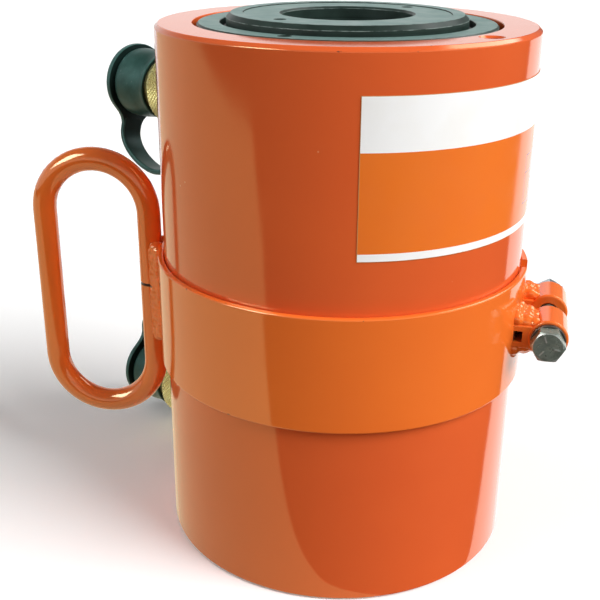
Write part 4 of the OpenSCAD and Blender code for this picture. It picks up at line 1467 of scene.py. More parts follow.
@dataclass
class CarryBand:
    """The split band round the body, with the looped handle welded to it."""

    trees: Trees
    inner_r: float = 79.675
    outer_r: float = BAND_R
    middle: float = BAND_MIDDLE
    tall: float = 49.0
    edge: float = 0.7
    split: float = 10.0
    bar_r: float = 5.4
    leg_x: float = 88.975
    wide: float = 49.5
    legs: float = 72.7
    butt: float = 1.2
    butt_up: float = 3.2
    butt_edge: float = 0.2
    pit_half: tuple[float, float] = (1.6, 0.75)
    pit_in: float = 0.8
    pit_depth: float = 0.7
    bead_over: float = 0.2
    bead_drift: float = 0.25
    passes: tuple[tuple[float, float, float, float], ...] = (
        (85.2, 4.5, 3.0, 0.0), (83.4, 6.4, 2.2, 1.5), (87.2, 4.9, 1.5, 2.5))

    def build(self) -> None:
        """Make the band, the handle and its weld."""
        mid_r = (self.inner_r + self.outer_r) / 2.0
        half = math.asin(self.split / 2.0 / mid_r)
        turns = np.linspace(half, 2 * math.pi - half, 241) + math.radians(SPLIT_TURN)
        section = rounded_bar(self.outer_r - self.inner_r, self.tall, self.edge)
        strip = swept(arc(mid_r, turns, self.middle), Vector((0, 0, 1)), section)
        band = make_object("band_strip", strip)
        settle(band, ORANGE_ROLLED, "carry_band")
        handle = make_object("handle_loop", self.loop())
        settle(handle, ORANGE_ROLLED, "carry_handle")
        beads = [bead for side in (-1, 1) for bead in self.beads(side)]
        weld = melt(join(*beads), WELD_GRAIN, 3)
        self.open_pit(weld)
        settle(weld, ORANGE_ROLLED, "handle_weld")

    def loop(self) -> Shape:
        """Give the handle's bar, bent round from butt joint to butt joint.

        Returns:
            The bar, with painted shade on both end faces so that the butt joint reads dark.
        """
        r, x = self.wide / 2.0, self.leg_x + self.wide / 2.0
        low, high = self.middle - self.legs / 2.0, self.middle + self.legs / 2.0
        joint = self.middle + self.butt_up
        first, last = joint + self.butt / 2.0, joint - self.butt / 2.0
        bend = np.linspace(0, math.pi, 33)
        line = [(self.leg_x, first), (self.leg_x, first + self.butt_edge)]
        line += [(self.leg_x, z) for z in np.linspace(first, high, 12)[1:-1]]
        line += [(x - r * math.cos(t), high + r * math.sin(t)) for t in bend]
        line += [(self.leg_x + self.wide, z) for z in np.linspace(high, low, 20)[1:-1]]
        line += [(x + r * math.cos(t), low - r * math.sin(t)) for t in bend]
        line += [(self.leg_x, z) for z in np.linspace(low, last, 12)[1:-1]]
        line += [(self.leg_x, last - self.butt_edge), (self.leg_x, last)]
        path = np.array([(-a, 0.0, b) for a, b in line])
        section = circle(self.bar_r, 40)
        bar = swept(path, Vector((0, 1, 0)), section)
        # painted shade on the bar's end faces, which darkens the butt joint
        bar.rim[:len(section)] = bar.rim[-len(section):] = PAINTED_SHADE
        return bar

    def open_pit(self, weld: bpy.types.Object) -> None:
        """Sink a pit into the front weld, where the butt joint of the bar runs into it, and paint shade into
        the pit.

        Args:
            weld: The handle's weld, in metres.
        """
        rim = weld.data.attributes.get("rim") or weld.data.attributes.new("rim", "FLOAT", "POINT")
        half_x, half_z = self.pit_half
        pit_x, pit_z = self.pit_in - self.leg_x, self.middle + self.butt_up
        for vertex in weld.data.vertices:
            x, y, z = vertex.co / MM
            off = math.hypot((x - pit_x) / half_x, (z - pit_z) / half_z)
            depth = max(0.0, 1.0 - off) if y < 0 else 0.0
            # painted shade in the pit
            rim.data[vertex.index].value = PAINTED_SHADE * min(1.0, 2.0 * depth)
            vertex.co.y += self.pit_depth * depth * MM

    def beads(self, side: int) -> list[bpy.types.Object]:
        """Lay the weld along one side of the handle's inner leg, with its toe on the band.

        Args:
            side: -1 for the front and 1 for the back.

        Returns:
            The beads.
        """
        made = []
        for step, (x, y, radius, margin) in enumerate(self.passes):
            ends = self.tall / 2.0 + self.bead_over - margin
            drift = np.random.default_rng(7 + step + side)
            line = [(-x, side * (y + drift.uniform(-self.bead_drift, self.bead_drift)), self.middle + z)
                    for z in np.linspace(-ends, ends, 12)]
            made.append(grow(line_object(f"handle_bead_{side + 1}{step}", line), self.trees.bead,
                             Radius=radius * MM, Ripple=0.14, Pitch=2.9 * MM, Lump=1.7 * MM,
                             Seed=3.0 + side + 0.4 * step, Finish=ORANGE_ROLLED.material()))
        return made


@dataclass
class ClampLugs:
    """The two welded lugs, with the bolt, lock washer and nut that draw the band tight."""

    trees: Trees
    axis_r: float = 93.375
    barrel_r: float = 8.4
    hole_r: float = 4.35
    near: float = 5.9
    far: float = 24.4
    band_r: float = BAND_R
    foot: float = 5.0
    foot_in: float = 0.4
    foot_sunk: float = 1.2
    foot_up: float = 4.9
    foot_edge: float = 0.5
    void: float = 2.5
    void_r: float = 82.675
    void_skin: float = 0.15
    flats: float = 12.7
    flats_in: float = 0.25
    flats_over: float = 0.4
    washer: float = 2.3
    washer_r: float = 7.3
    washer_ends: tuple[float, float] = (97.0, 443.0)
    washer_spring: float = 0.12
    washer_play: float = 0.26
    head: float = 5.8
    bolt_r: float = 3.95
    bolt_fit: float = 0.05
    thread_start: float = 8.0
    thread_depth: float = 0.55
    thread_pitch: float = 1.41
    thread_wire: float = 0.5
    mark_half: tuple[float, float, float] = (1.4, 0.27, 0.16)
    mark_r: float = 3.7
    mark_turn: float = 10.0
    nut: float = 6.8
    nut_turn: float = 30.0
    tail: float = 3.0
    bead_drift: float = 0.35
    passes: tuple[Bead, ...] = (
        (0.2, 6.6, 2.6, (7.4, 24.2), 0.0), (2.6, 5.9, 2.7, (7.6, 23.4), 0.5),
        (-0.4, 9.2, 1.7, (9.0, 22.5), 0.0), (5.0, 4.9, 2.5, (7.6, 23.4), 1.0))

    def lug_place(self) -> Matrix:
        """Give the lugs' place: outwards, along the bolt to its nut, and up."""
        return turn_z(SPLIT_TURN) @ shift(0, 0, BAND_MIDDLE)

    def bolt_place(self) -> Matrix:
        """Give the bolt's place, with its own axis along the bolt."""
        return self.lug_place() @ shift(self.axis_r, 0, 0) @ Matrix.Rotation(-math.pi / 2, 4, "X")

    def build(self) -> None:
        """Make the lugs, the weld, the bolt, the washer and the nut."""
        for name, side in (("front_lug", -1), ("rear_lug", 1)):
            lug = join(make_object(f"{name}_barrel", self.barrel(side)), self.foot_block(name, side))
            settle(lug, ORANGE_ROLLED, name)
        beads = [bead for side in (-1, 1) for up in (-1, 1) for bead in self.beads(side, up)]
        weld = melt(join(*beads), WELD_GRAIN, 14)
        settle(weld, ORANGE_ROLLED, "lug_weld")
        self.build_bolt()
        washer = make_object("spring_washer", self.washer_shape())
        settle(washer, WASHER, "lock_washer")
        nut = self.hexagon("hex_nut", self.far, self.far + self.nut, (True, True), self.nut_turn)
        hole = post(self.bolt_r + self.bolt_fit, self.far - 1, self.far + self.nut + 1)
        carve(nut, [hole.placed(self.bolt_place())])
        settle(nut, NUT_ZINC, "clamp_nut")

    def barrel(self, side: int) -> Shape:
        """Give one lug's bored barrel.

        Args:
            side: -1 for the front lug and 1 for the rear one.

        Returns:
            The barrel.
        """
        low, high = sorted((side * self.near, side * self.far))
        outline = softened([(self.hole_r, low, 0.6), (self.barrel_r, low, 0.9),
                            (self.barrel_r, high, 0.9), (self.hole_r, high, 0.6)])
        return turned(outline, 72).placed(self.bolt_place())

    def foot_block(self, name: str, side: int) -> bpy.types.Object:
        """Make the block between a lug's barrel and the band, hollow where it meets the band, with painted
        shade inside the hollow.

        Args:
            name: The lug's name.
            side: -1 for the front lug and 1 for the rear one.

        Returns:
            The block.
        """
        low, high = sorted((side * self.near + side * self.foot_in, side * self.far - side * self.foot_in))
        root, top = self.band_r - self.foot_sunk, self.axis_r - self.foot_up
        inner = [(math.sqrt(root * root - y * y), y) for y in np.linspace(low, high, 10)]
        outline = np.array([*reversed(inner), (top, low), (top, high)])
        plate = slab(outline, -self.foot, self.foot, self.foot_edge)
        foot = make_object(f"{name}_foot", plate.placed(self.lug_place()))
        reach = np.linspace(*sorted((side * (self.near + 1.5), side * (self.far + 2.0))), 45)
        floor = [(math.sqrt((self.band_r + self.void_skin) ** 2 - y * y), y) for y in reach]
        hollow = slab(np.array([*((self.void_r, y) for y in reach), *reversed(floor)]),
                      -self.void, self.void, 0.02, 1)
        # painted shade on the hollow's walls and on the thin skin left over the band
        hollow.rim[:] = PAINTED_SHADE
        return carve(foot, [hollow.placed(self.lug_place())])

    def beads(self, side: int, up: int) -> list[bpy.types.Object]:
        """Lay overlapping welds between a lug and the band, above or below its foot.

        Args:
            side: -1 for the front lug and 1 for the rear one.
            up: 1 for the weld above the foot and -1 for the one below.

        Returns:
            The beads.
        """
        place = self.lug_place()
        made = []
        for step, (out, rise, radius, ends, straight) in enumerate(self.passes):
            drift = np.random.default_rng(11 + 5 * step + 2 * side + up)
            spots = []
            for y in np.linspace(*ends, 9):
                x = math.sqrt((self.band_r + out) ** 2 - y * y)
                x += straight * (self.band_r + out - x)
                z = rise + drift.uniform(-self.bead_drift, self.bead_drift)
                spots.append(tuple(place @ Vector((x, side * y, up * z))))
            name = f"lug_bead_{side + 1}{up + 1}{step}"
            made.append(grow(line_object(name, spots), self.trees.bead, Radius=radius * MM, Ripple=0.24,
                             Pitch=3.7 * MM, Lump=0.35 * MM, Seed=11.0 + 3 * side + up + 0.5 * step,
                             Finish=ORANGE_ROLLED.material()))
        return made

    def hexagon(self, name: str, low: float, high: float, cuts: tuple[bool, bool],
                turn: float = 0.0) -> bpy.types.Object:
        """Make a hexagon on the bolt's axis with turned chamfers.

        Args:
            name: The object's name.
            low: Place of its first end along the bolt.
            high: Place of its second end along the bolt.
            cuts: Whether the first and the second end are chamfered.
            turn: Its turn about the bolt.

        Returns:
            The hexagon.
        """
        low_cut, high_cut = cuts
        corner = self.flats / 2.0 / math.cos(math.pi / 6.0)
        face = self.flats / 2.0 - self.flats_in
        edge = corner + self.flats_over
        rise = (corner - face + self.flats_over) * math.tan(math.radians(30))
        # the chamfer stations carry rim mark 1, so the chamfers take the lighter edge colour as painted
        # highlight and rubbed plating
        outline = [(0, low, 0), (face - 0.1, low, 0), (face if low_cut else edge, low, 1.0)]
        if low_cut:
            outline.append((edge, low + rise, 1.0))
        if high_cut:
            outline.append((edge, high - rise, 1.0))
        outline += [(face if high_cut else edge, high, 1.0), (face - 0.1, high, 0), (0, high, 0)]
        bar = prism(6, corner, low - 0.5, high + 0.5).placed(self.bolt_place() @ turn_z(turn))
        hexagon = make_object(name, bar)
        return carve(hexagon, [turned(outline, 96, False).placed(self.bolt_place())], Cut.KEEP)

    def build_bolt(self) -> None:
        """Make the bolt with its chamfered head, three grade lines and rolled thread."""
        seat = -self.far - self.washer
        face, end, start = seat - self.head, self.far + self.nut + self.tail, self.thread_start
        head = self.hexagon("clamp_screw", face, seat, (True, False))
        core = self.bolt_r - self.thread_depth
        outline = softened([(0, seat - 0.5, 0), (self.bolt_r, seat - 0.5, 0), (self.bolt_r, start, 0.3),
                            (core, start + 0.6, 0.2), (core, end - 0.8, 0.2), (self.bolt_r - 1.3, end, 0.2),
                            (0, end, 0)], False)
        mark = block(self.mark_half)
        # painted highlight: the grade lines take the lighter edge colour
        mark.rim[:] = 1.0
        marks = [mark.placed(turn_z(self.mark_turn + 120 * i) @ shift(self.mark_r, 0, face))
                 for i in range(3)]
        rod = turned(outline, 64, False).plus(*marks)
        shank = make_object("clamp_shank", rod.placed(self.bolt_place()))
        length = end - start - 1.6
        thread = grow(line_object("clamp_thread", [(0, 0, 0), (0, 0, 1)]), self.trees.coil,
                      Radius=(self.bolt_r - 0.45) * MM, Length=length * MM, Turns=length / self.thread_pitch,
                      Wire=self.thread_wire * MM, Corners=4, Finish=ZINC.material())
        thread.data.transform(to_metres(self.bolt_place() @ shift(0, 0, start + 0.8)))
        settle(join(head, shank, thread), ZINC, "clamp_bolt")

    def washer_shape(self) -> Shape:
        """Give the split spring washer, with its ends a little sprung.

        Returns:
            The washer.
        """
        inner, outer = self.bolt_r + 0.1, self.washer_r
        turns = np.linspace(*(math.radians(end) for end in self.washer_ends), 90)
        lift = np.linspace(-self.washer_spring, self.washer_spring, len(turns))
        section = rounded_bar(outer - inner, self.washer - self.washer_play, 0.35)
        ring = swept(arc((inner + outer) / 2.0, turns, lift), Vector((0, 0, 1)), section)
        return ring.placed(self.bolt_place() @ shift(0, 0, -self.far - self.washer / 2.0))


@dataclass
class RatingLabel:
    """The printed vinyl sheet on the body's upper half."""

    inner_r: float = 79.42
    outer_r: float = 79.625
    low: float = 153.1
    high: float = low + LABEL_TALL
    edge: float = 0.06
    start: float = -81.0
    wide: float = LABEL_WIDE

    def build(self) -> None:
        """Make the curved sheet, with a map that runs along it."""
        turns = np.linspace(0.0, self.wide / BODY_R, 97) + math.radians(self.start)
        path = arc((self.inner_r + self.outer_r) / 2.0, turns, (self.low + self.high) / 2.0)
        section = rounded_bar(self.outer_r - self.inner_r, self.high - self.low, self.edge, 2)
        sheet = make_object("label_sheet", swept(path, Vector((0, 0, 1)), section))
        chart = sheet.data.uv_layers.new(name="sheet")
        for loop in sheet.data.loops:
            spot = sheet.data.vertices[loop.vertex_index].co
            turn = math.atan2(spot.y, spot.x) - math.radians(self.start)
            chart.data[loop.index].uv = (turn * BODY_R / MAP_UNIT, (spot.z / MM - self.low) / MAP_UNIT)
        settle(sheet, VINYL, "rating_label")


@dataclass
class Coupler:
    """One coupler: hexagon and barrel, knurled collar, dust cap with its strap, and poppet spring."""

    level: Level
    trees: Trees
    face: float = PORT_FACE
    fit: float = 0.05
    hex_corner: float = 14.664
    hex_in: float = 0.2
    hex_end: float = face + 7.0
    oil_r: float = 2.5
    chamber: float = face + 4.0
    chamber_r: float = 7.6
    neck_r: float = 12.0
    neck_end: float = face + 12.0
    bore_r: float = 7.5
    seal_r: float = 9.0
    seal_depth: float = 10.0
    barrel_r: float = 13.0
    barrel_end: float = face + 34.0
    collar_start: float = face + 12.2
    collar_hole: float = 14.6
    collar_lip: float = 3.0
    collar_floor: float = barrel_end + 0.3
    knurl_end: float = face + 37.0
    knurl_r: float = 18.2
    knurl_edge_r: float = 17.2
    knurl_edge: float = 0.8
    tooth: float = 0.62
    sunk: float = 0.06
    around: int = 54
    rows: int = 22
    nose_r: float = 14.2
    nose_end: float = face + 56.0
    thread_r: float = 11.6
    thread_start: float = 115.5
    thread_long: float = 16.0
    thread_turns: float = 10.0
    thread_wire: float = 0.45
    spring_r: float = 5.6
    spring_wire: float = 0.6
    spring_start: float = chamber + spring_wire
    spring_end: float = 94.3
    spring_turns: float = 5.0
    press: float = 4.0
    mouth: float = face + 42.5
    mouth_r: float = 16.35
    cap_side: tuple[tuple[float, float], ...] = (
        (16.25, 121.6), (16.05, 123.4), (16.2, 126.4), (16.8, 130.6), (17.2, 135.0), (17.25, 139.0),
        (16.95, 141.2), (16.0, 142.2), (15.0, 142.7))
    cap_floor: float = face + 56.35
    cap_fold_r: float = 14.9
    mouth_shade_r: float = 15.9
    mouth_shade: float = 1.5
    flange: float = face + 65.35
    cap_end: float = face + 68.15
    flange_r: float = 19.0
    flange_turn: float = 56.0
    flange_edge: float = 0.4
    tongue: float = 24.8
    strap_wide: float = 12.0
    strap_thick: float = 2.6
    strap_edge: float = 0.95
    drop: float = 43.0
    low_s: float = face + 37.325
    bend: float = 10.0
    root: float = 10.5
    eye_s: float = face + 8.5
    eye_half: float = 1.2
    eye_r: float = 14.0
    eye_outer: float = 16.0

    def name(self, piece: str) -> str:
        """Give the name of one of this coupler's nodes, bodies or pieces."""
        return f"{self.level.prefix}_{piece}"

    def place(self) -> Matrix:
        """Give the coupler's place, in millimetres."""
        return port_place(self.level)

    def cap_place(self) -> Matrix:
        """Give the place of the cap and its strap, turned about the coupler's axis."""
        return self.place() @ turn_z(self.level.roll)

    def out(self, s: float, rise: float = 0.0) -> Vector:
        """Give the point out along the axis and up along the strap's plane, in millimetres."""
        return self.cap_place() @ Vector((-rise, 0.0, s))

    def build(self) -> None:
        """Make the coupler's pieces."""
        self.build_nipple()
        self.build_collar()
        self.build_cap()
        self.build_strap()
        self.build_spring()

    def build_nipple(self) -> None:
        """Make the hexagon with its neck and barrel."""
        corner, face = self.hex_corner, self.hex_corner * math.cos(math.pi / 6.0) - self.hex_in
        low, high = self.face, self.hex_end
        rise = (corner - face) * math.tan(math.radians(30))
        nipple = make_object(self.name("nipple"), prism(6, corner, low, high + 0.5).placed(self.place()))
        keep = turned([(0, low, 0), (corner + 0.1, low, 0), (corner + 0.1, high - rise, 0), (face, high, 0),
                       (0, high, 0)], 96, False)
        carve(nipple, [keep.placed(self.place())], Cut.KEEP)
        bore = turned([(0, low - 1.0, 0), (self.oil_r, low - 1.0, 0), (self.oil_r, self.chamber, 0),
                       (self.chamber_r, self.chamber, 0), (self.chamber_r, high + 1.0, 0),
                       (0, high + 1.0, 0)], 64, False)
        carve(nipple, [bore.placed(self.place())])
        step = self.barrel_end - self.seal_depth
        barrel = turned(softened([
            (self.bore_r, high - 1.0, 0), (self.neck_r, high - 1.0, 0), (self.neck_r, self.neck_end, 0.4),
            (self.barrel_r, self.neck_end, 0.4), (self.barrel_r, self.barrel_end, 0.6),
            (self.seal_r, self.barrel_end, 0.4), (self.seal_r, step, 0.2), (self.bore_r, step, 0.2),
        ]), 96)
        tube = make_object(self.name("barrel"), barrel.placed(self.place()))
        settle(join(nipple, tube), ZINC, self.name("coupler_body"))

    def build_collar(self) -> None:
        """Make the collar with its diamond knurl and inner thread."""
        base = self.knurl_r - self.tooth
        bore, hole = self.barrel_r + self.fit, self.collar_hole
        start, end, lip = self.collar_start, self.knurl_end, self.collar_start + self.collar_lip
        outline = softened([
            (hole, start, 0.2), (self.knurl_edge_r, start, 0.3), (base, start + self.knurl_edge, 0.2),
            (base, end - self.knurl_edge, 0.2), (self.knurl_edge_r, end, 0.3), (self.nose_r, end, 0.3),
            (self.nose_r, self.nose_end, 0.5), (self.thread_r, self.nose_end, 0.6),
            (self.thread_r, self.collar_floor, 0.2), (bore, self.collar_floor, 0.2), (bore, lip, 0.2),
            (hole, lip, 0.2),
        ])
        collar = make_object(self.name("collar_ring"), turned(outline, 128))
        grow(collar, self.trees.knurl, Radius=(base - self.sunk) * MM, Start=(start + 0.9) * MM,
             Length=(end - start - 1.8) * MM, Tooth=(self.tooth + self.sunk) * MM,
             Around=self.around, Rows=self.rows, Finish=YELLOW.material())
        screw = line_object(self.name("collar_screw"), [(0, 0, 0), (0, 0, 1)])
        grow(screw, self.trees.coil, Radius=self.thread_r * MM, Length=self.thread_long * MM,
             Turns=self.thread_turns, Wire=self.thread_wire * MM, Corners=4, Finish=YELLOW.material())
        screw.data.transform(Matrix.Translation((0, 0, self.thread_start * MM)))
        join(collar, screw)
        collar.data.transform(to_metres(self.place()))
        settle(collar, YELLOW, self.name("collar"), self.name("union"))

    def build_cap(self) -> None:
        """Make the dust cap with its flange and tongue, with painted shade in its mouth, where the cup meets
        the flange and on the flange's inner face.
        """
        grip = self.nose_r + self.fit
        side = flowing(self.cap_side)
        lip = softened([(grip, self.mouth + 1.4, 0), (grip + 0.1, self.mouth, 0.5),
                        (self.mouth_r, self.mouth, 0.5), (*side[0], 0)], False)
        # painted shade on the inner face of the cap's mouth and where the cup meets the flange
        outline = [(0, self.cap_floor, 0), (grip, self.cap_floor, 0), *lip,
                   *((r, s, 0.0) for r, s in side[1:]), (self.cap_fold_r, self.cap_end - 1.0, FOLD_SHADE),
                   (0, self.cap_end - 1.0, 0)]
        fold_shade = self.mouth + self.mouth_shade
        outline = [(r, s, FOLD_SHADE if s < fold_shade and r < self.mouth_shade_r else wear_and_painted_light) for r, s, wear_and_painted_light in outline]
        cup = turned(outline, 128, False)
        edge = self.flange_outline()
        plate = slab(edge, self.flange + 0.24, self.cap_end - 0.02, self.flange_edge)
        # painted shade on the flange's inner face
        plate.rim[:len(edge)] = FOLD_SHADE
        cap = make_object(self.name("cap_cup"), cup.plus(plate).placed(self.cap_place()))
        settle(cap, CAP, self.name("dust_cap"), self.name("cap"))

    def flange_outline(self) -> np.ndarray:
        """Give the flange's outline, a disc that flows into the strap's tongue.

        Returns:
            The outline's points.
        """
        r, half, wide = self.flange_r, math.radians(self.flange_turn), self.strap_wide / 2.0 - 0.35
        end = self.tongue - 0.4
        disc = [(r * math.cos(t), r * math.sin(t)) for t in np.linspace(half, 2 * math.pi - half, 110)]
        start = np.array((r * math.cos(half), -r * math.sin(half)))
        ahead = np.array((math.sin(half), math.cos(half)))
        bend = (start, start + ahead * 6.5, (end - 7.0, -wide), (end, -wide))
        side = [tuple(bezier(bend, t)) for t in np.linspace(0, 1, 18)[1:]]
        line = np.array([*disc, *side, *((a, -b) for a, b in reversed(side))])
        line[:, 0] *= self.level.down
        return line if self.level.down > 0 else line[::-1]

    def strap_path(self) -> np.ndarray:
        """Give the strap's middle line, from inside the tongue to its eye, out and up.

        Returns:
            The line's points.
        """
        s = self.cap_end - self.strap_thick / 2.0
        root = -self.tongue - 0.35
        outer = [(s, root), (s, root - self.root), (self.low_s + self.bend, -self.drop),
                 (self.low_s, -self.drop)]
        inner = [(self.low_s, -self.drop), (self.low_s - self.bend, -self.drop),
                 (self.eye_s, -self.drop + self.root), (self.eye_s, -self.eye_r)]
        shares = np.linspace(0, 1, 30)
        line = [np.array((s, -self.tongue + 5.0 - 0.7 * k)) for k in range(7)]
        line += [bezier(outer, t) for t in shares]
        line += [bezier(inner, t) for t in shares[1:]]
        return np.array(line)

    def build_strap(self) -> None:
        """Make the strap with its eye."""
        path = np.array([tuple(self.out(s, rise * self.level.down)) for s, rise in self.strap_path()])
        side = self.cap_place().to_3x3() @ Vector((0.0, 1.0, 0.0))
        section = rounded_bar(self.strap_thick + self.sunk, self.strap_wide, self.strap_edge, 4)
        band = swept(path, side, section)
        # painted shade from the tongue down the strap's root, then a paler patch past the bend as painted
        # sheen, then plain rubber
        tone = np.interp(np.arange(len(path)), (0, 8, 20, 27, 32, 40), (FOLD_SHADE, -0.95, -0.2, 0.85, 0.3, 0.0))
        band.rim = np.where(band.rim > 0.5, band.rim, np.repeat(tone, len(section)))
        hole, low, high = self.neck_r + self.sunk, self.eye_s - self.eye_half, self.eye_s + self.eye_half
        eye = turned(softened([(hole, low, 0.5), (self.eye_outer, low, 0.8), (self.eye_outer, high, 0.8),
                               (hole, high, 0.5)]), 72)
        strap = make_object(self.name("strap_loop"), band.plus(eye.placed(self.place())))
        dress_object(strap, CAP)
        self.name("cap")
        tuple(self.out(90.0) * MM)
        tuple(self.out(140.0) * MM)
        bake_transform(strap)
        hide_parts(self.name("cap_strap"))
        log.info("%s: %d faces, bends with the cap", strap.name, len(strap.data.polygons))

    def build_spring(self) -> None:
        """Wind the poppet's spring."""
        low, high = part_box(self.name("poppet"))
        start, length = self.spring_start, self.spring_end - self.spring_start
        spring = line_object(self.name("spring_coil"), [(0, 0, 0), (0, 0, 1)])
        grow(spring, self.trees.coil, Radius=self.spring_r * MM, Length=length * MM, Turns=self.spring_turns,
             Wire=self.spring_wire * MM, Corners=10, Finish=BRIGHT.material())
        spring.data.transform(to_metres(self.place() @ shift(0, 0, start)))
        settle(spring, BRIGHT, self.name("poppet_spring"))
        self.name("poppet_press")
        tuple(self.out(start) * MM)
        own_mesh(spring)
        log.info("%s lies behind a poppet of %.1f mm", spring.name, (high - low).length / MM)


@dataclass
class InnerRings:
    """Seals, guide rings and valve pieces inside the cylinder, which keep their solids."""

    def dress(self) -> None:
        """Give each of the solids that stay its finish."""
        finishes: dict[str, Finish] = {
            "sleeve_seal": NITRILE, "rod_seal": NITRILE, "gland_seal": NITRILE, "piston_seal": NITRILE,
            "inner_seal": NITRILE, "piston_backup": BACKING, "gland_bearing": BRONZE,
            "piston_bearing": BRONZE, "inner_bearing": BRONZE,
        }
        for level in Level:
            finishes |= {f"{level.prefix}_coupler_seat": BRIGHT, f"{level.prefix}_poppet": ZINC,
                         f"{level.prefix}_face_seal": NITRILE, f"{level.prefix}_retaining_ring": BRIGHT}
        for name, finish in finishes.items():
            dress_object(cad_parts[name], finish)
            log.info("%s keeps its solid in %s", name, finish.name)


@dataclass
class Studio:
    """The pale floor, the soft light and the camera."""

    camera_at: tuple[float, float, float] = (0.036560, -0.417884, 0.276162)
    heading: float = 7.54
    dip: float = 22.127
    roll: float = 0.438
    lens: float = 58.807
    sensor: float = 36.0
    clip: tuple[float, float] = (0.01, 50.0)
    sky: float = 0.22
    ceiling: float = 0.16
    horizon: tuple[float, float] = (12.0, 34.0)
    dim: tuple[float, float] = (22.0, 82.0)
    panes: tuple[Pane, ...] = (
        ((84.0, 127.0), (-9.0, 35.0), 0.97), ((-20.0, 20.0), (-9.0, 60.0), 1.0),
        ((16.0, 54.0), (27.0, 58.0), 5.0), ((-158.0, -129.0), (19.0, 50.0), 14.0))
    key: float = 3.75
    fill: float = 0.88
    lamp_away: float = 3.0
    floor_half: float = 9.0
    floor_at: float = -0.0004
    floor_lift: float = 0.1
    floor_bounce: Colour = (0.35, 0.34, 0.33)
    floor_tones: tuple[Colour, Colour] = ((0.93, 0.93, 0.925), (0.95, 0.95, 0.945))
    board_reach: float = 3.0
    cloth_right: tuple[tuple[float, float], ...] = (
        (5.9, -5.3), (6.5, -4.7), (9.5, -2.8), (14.3, 0.8), (19, 5.2), (45, 29), (109, 97), (600, 660))
    cloth_left: tuple[tuple[float, float], ...] = (
        (-260, 30), (-122, -46), (-86, -66), (-73, -67), (-35, -42), (-10.8, -20), (-3.9, -13.2), (0.3, -9),
        (2.2, -7.9))

    def build(self) -> None:
        """Set up the whole studio."""
        bpy.context.scene.view_settings.view_transform = "Standard"
        self.build_camera()
        self.build_sky()
        self.build_floor()
        self.build_boards()
        self.build_lamp("key_light", self.key, (-20.0, 40.0), 40.0)
        self.build_lamp("fill_light", self.fill, (-165.0, 30.0), 60.0)
        log.info("studio is set up")

    def build_camera(self) -> None:
        """Place the camera where the photograph was taken from."""
        data = bpy.data.cameras.new("camera")
        data.lens, data.sensor_width = self.lens, self.sensor
        data.clip_start, data.clip_end = self.clip
        camera = add_object("camera", data)
        tilt = Matrix.Rotation(math.radians(90.0 - self.dip), 4, "X")
        roll = Matrix.Rotation(math.radians(self.roll), 4, "Z")
        camera.matrix_world = Matrix.Translation(self.camera_at) @ turn_z(self.heading) @ tilt @ roll
        bpy.context.scene.camera = camera

    @staticmethod
    def seen(graph: Graph) -> bpy.types.NodeSocket:
        """Give 1 for rays that look at the studio and 0 for those that only light things.

        Args:
            graph: The material's node tree.

        Returns:
            The socket that holds it.
        """
        path = graph.add("ShaderNodeLightPath").outputs
        first = graph.math("MAXIMUM", path["Is Camera Ray"], path["Is Glossy Ray"])
        return graph.math("MAXIMUM", first, path["Is Transmission Ray"])

    def build_sky(self) -> None:
        """Make an even pale sky, white where it is looked at, with windows that gloss mirrors."""
        world = bpy.data.worlds.new("studio_sky")
        graph = empty_tree(world)
        parts = graph.add("ShaderNodeSeparateXYZ", {
            0: graph.add("ShaderNodeTexCoord").outputs["Generated"]}).outputs
        turn = graph.math("DEGREES", graph.math("ARCTAN2", parts["Y"], parts["X"]))
        rise = graph.math("DEGREES", graph.math("ARCSINE", parts["Z"]))
        mirrored = graph.remap(rise, *self.horizon, 1.0, self.ceiling)
        dim = graph.pane(turn, rise, self.dim, (-90.0, 100.0), 2.0)
        mirrored = graph.remap(dim, 0.0, 1.0, mirrored, self.ceiling)
        for turns, rises, strength in self.panes:
            pane = graph.pane(turn, rise, turns, rises, 3.0)
            mirrored = graph.math("MAXIMUM", mirrored, graph.math("MULTIPLY", pane, strength))
        path = graph.add("ShaderNodeLightPath").outputs
        level = graph.remap(path["Is Glossy Ray"], 0.0, 1.0, self.sky, mirrored)
        seen = graph.math("MAXIMUM", path["Is Camera Ray"], path["Is Transmission Ray"])
        level = graph.remap(seen, 0.0, 1.0, level, 1.0)
        light = graph.add("ShaderNodeBackground", {"Color": (1.0, 1.0, 1.0, 1.0), "Strength": level})
        graph.add("ShaderNodeOutputWorld", {"Surface": light.outputs[0]})
        bpy.context.scene.world = world

    def build_floor(self) -> None:
        """Lay a wide pale floor that keeps the object's shadow."""
        half = self.floor_half
        corners = [(-half, -half), (half, -half), (half, half), (-half, half)]
        floor = self.sheet("floor", corners, self.floor_at)
        made = bpy.data.materials.new("pale_floor")
        graph = empty_tree(made)
        seen = self.seen(graph)
        grain = graph.remap(graph.noise(graph.place(), 30.0), 0.3, 0.7, 0.0, 1.0)
        colour = graph.mix(seen, self.floor_bounce, graph.mix(grain, *self.floor_tones))
        matt = graph.add("ShaderNodeBsdfDiffuse", {"Color": colour}).outputs[0]
        strength = graph.math("MULTIPLY", seen, self.floor_lift)
        glow = graph.add("ShaderNodeEmission", {"Color": (1, 1, 1, 1), "Strength": strength}).outputs[0]
        both = graph.add("ShaderNodeAddShader", {0: matt, 1: glow}).outputs[0]
        graph.add("ShaderNodeOutputMaterial", {"Surface": both})
        floor.data.materials.append(made)

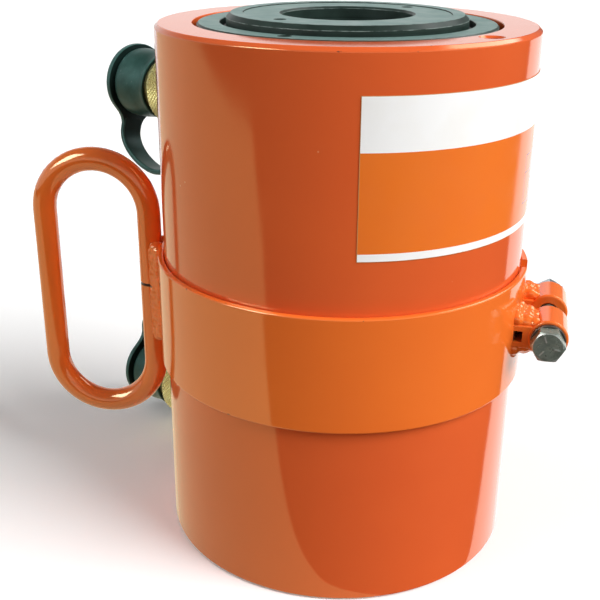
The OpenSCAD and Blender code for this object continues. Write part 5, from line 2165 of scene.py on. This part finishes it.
    def build_boards(self) -> None:
        """Lay a dark cloth and two boards round the table, which only reflections show."""
        wide = [(850, 660), (850, -850), (-850, -850), (-850, 120)]
        cloth = [(x * CM, y * CM) for x, y in (*self.cloth_right, *wide, *self.cloth_left)]
        pale, warm = ([(0.0, 0.0), *(self.spoke(self.board_reach, turn) for turn in range(first, last, 8))]
                      for first, last in ((-45, 101), (128, 289)))
        for name, outline, height, colour, strength in (
                ("dark_cloth", cloth, 0.0006, (0.016, 0.014, 0.012), 1.0),
                ("warm_board", warm, 0.0002, (1.0, 0.86, 0.58), 1.0),
                ("pale_board", pale, 0.0004, (1.0, 1.0, 1.0), 1.42)):
            board = self.sheet(name, outline, height)
            board.visible_camera = board.visible_diffuse = board.visible_shadow = False
            board.visible_transmission = board.visible_volume_scatter = False
            made = bpy.data.materials.new(name)
            graph = empty_tree(made)
            glow = graph.add("ShaderNodeEmission", {"Color": (*colour, 1.0), "Strength": strength})
            graph.add("ShaderNodeOutputMaterial", {"Surface": glow.outputs[0]})
            board.data.materials.append(made)

    @staticmethod
    def spoke(reach: float, turn: float) -> tuple[float, float]:
        """Give a point on the floor at a distance and a direction from the body's axis."""
        return reach * math.cos(math.radians(turn)), reach * math.sin(math.radians(turn))

    @staticmethod
    def sheet(name: str, outline: Sequence[tuple[float, float]], height: float) -> bpy.types.Object:
        """Lay one flat sheet of the studio.

        Args:
            name: The sheet's name.
            outline: Its outline, in metres.
            height: Its height, in metres.

        Returns:
            The sheet.
        """
        mesh = bpy.data.meshes.new(name)
        mesh.from_pydata([(x, y, height) for x, y in outline], [], [tuple(range(len(outline)))])
        obj = add_object(name, mesh)
        return obj

    def build_lamp(self, name: str, power: float, aim: tuple[float, float], spread: float) -> None:
        """Hang one wide soft lamp far away.

        Args:
            name: The lamp's name.
            power: Its strength.
            aim: The direction that it stands in and its height, in degrees.
            spread: How wide it looks, in degrees.
        """
        data = bpy.data.lights.new(name, "SUN")
        data.energy, data.angle = power, math.radians(spread)
        lamp = add_object(name, data)
        turn, rise = (math.radians(value) for value in aim)
        stand = Vector((math.cos(turn) * math.cos(rise), math.sin(turn) * math.cos(rise), math.sin(rise)))
        lamp.visible_glossy = False
        lamp.location = stand * self.lamp_away
        lamp.rotation_euler = stand.to_track_quat("Z", "Y").to_euler()


def main() -> None:
    """Build every sub-assembly in order, then the studio."""
    logging.basicConfig(level=logging.INFO, format="%(message)s")
    trees = Trees()
    CylinderShell().build()
    Gland().build()
    Ram().build()
    CarryBand(trees).build()
    ClampLugs(trees).build()
    RatingLabel().build()
    for level in Level:
        Coupler(level, trees).build()
    InnerRings().dress()
    Studio().build()


if __name__ == "__main__":
    main()
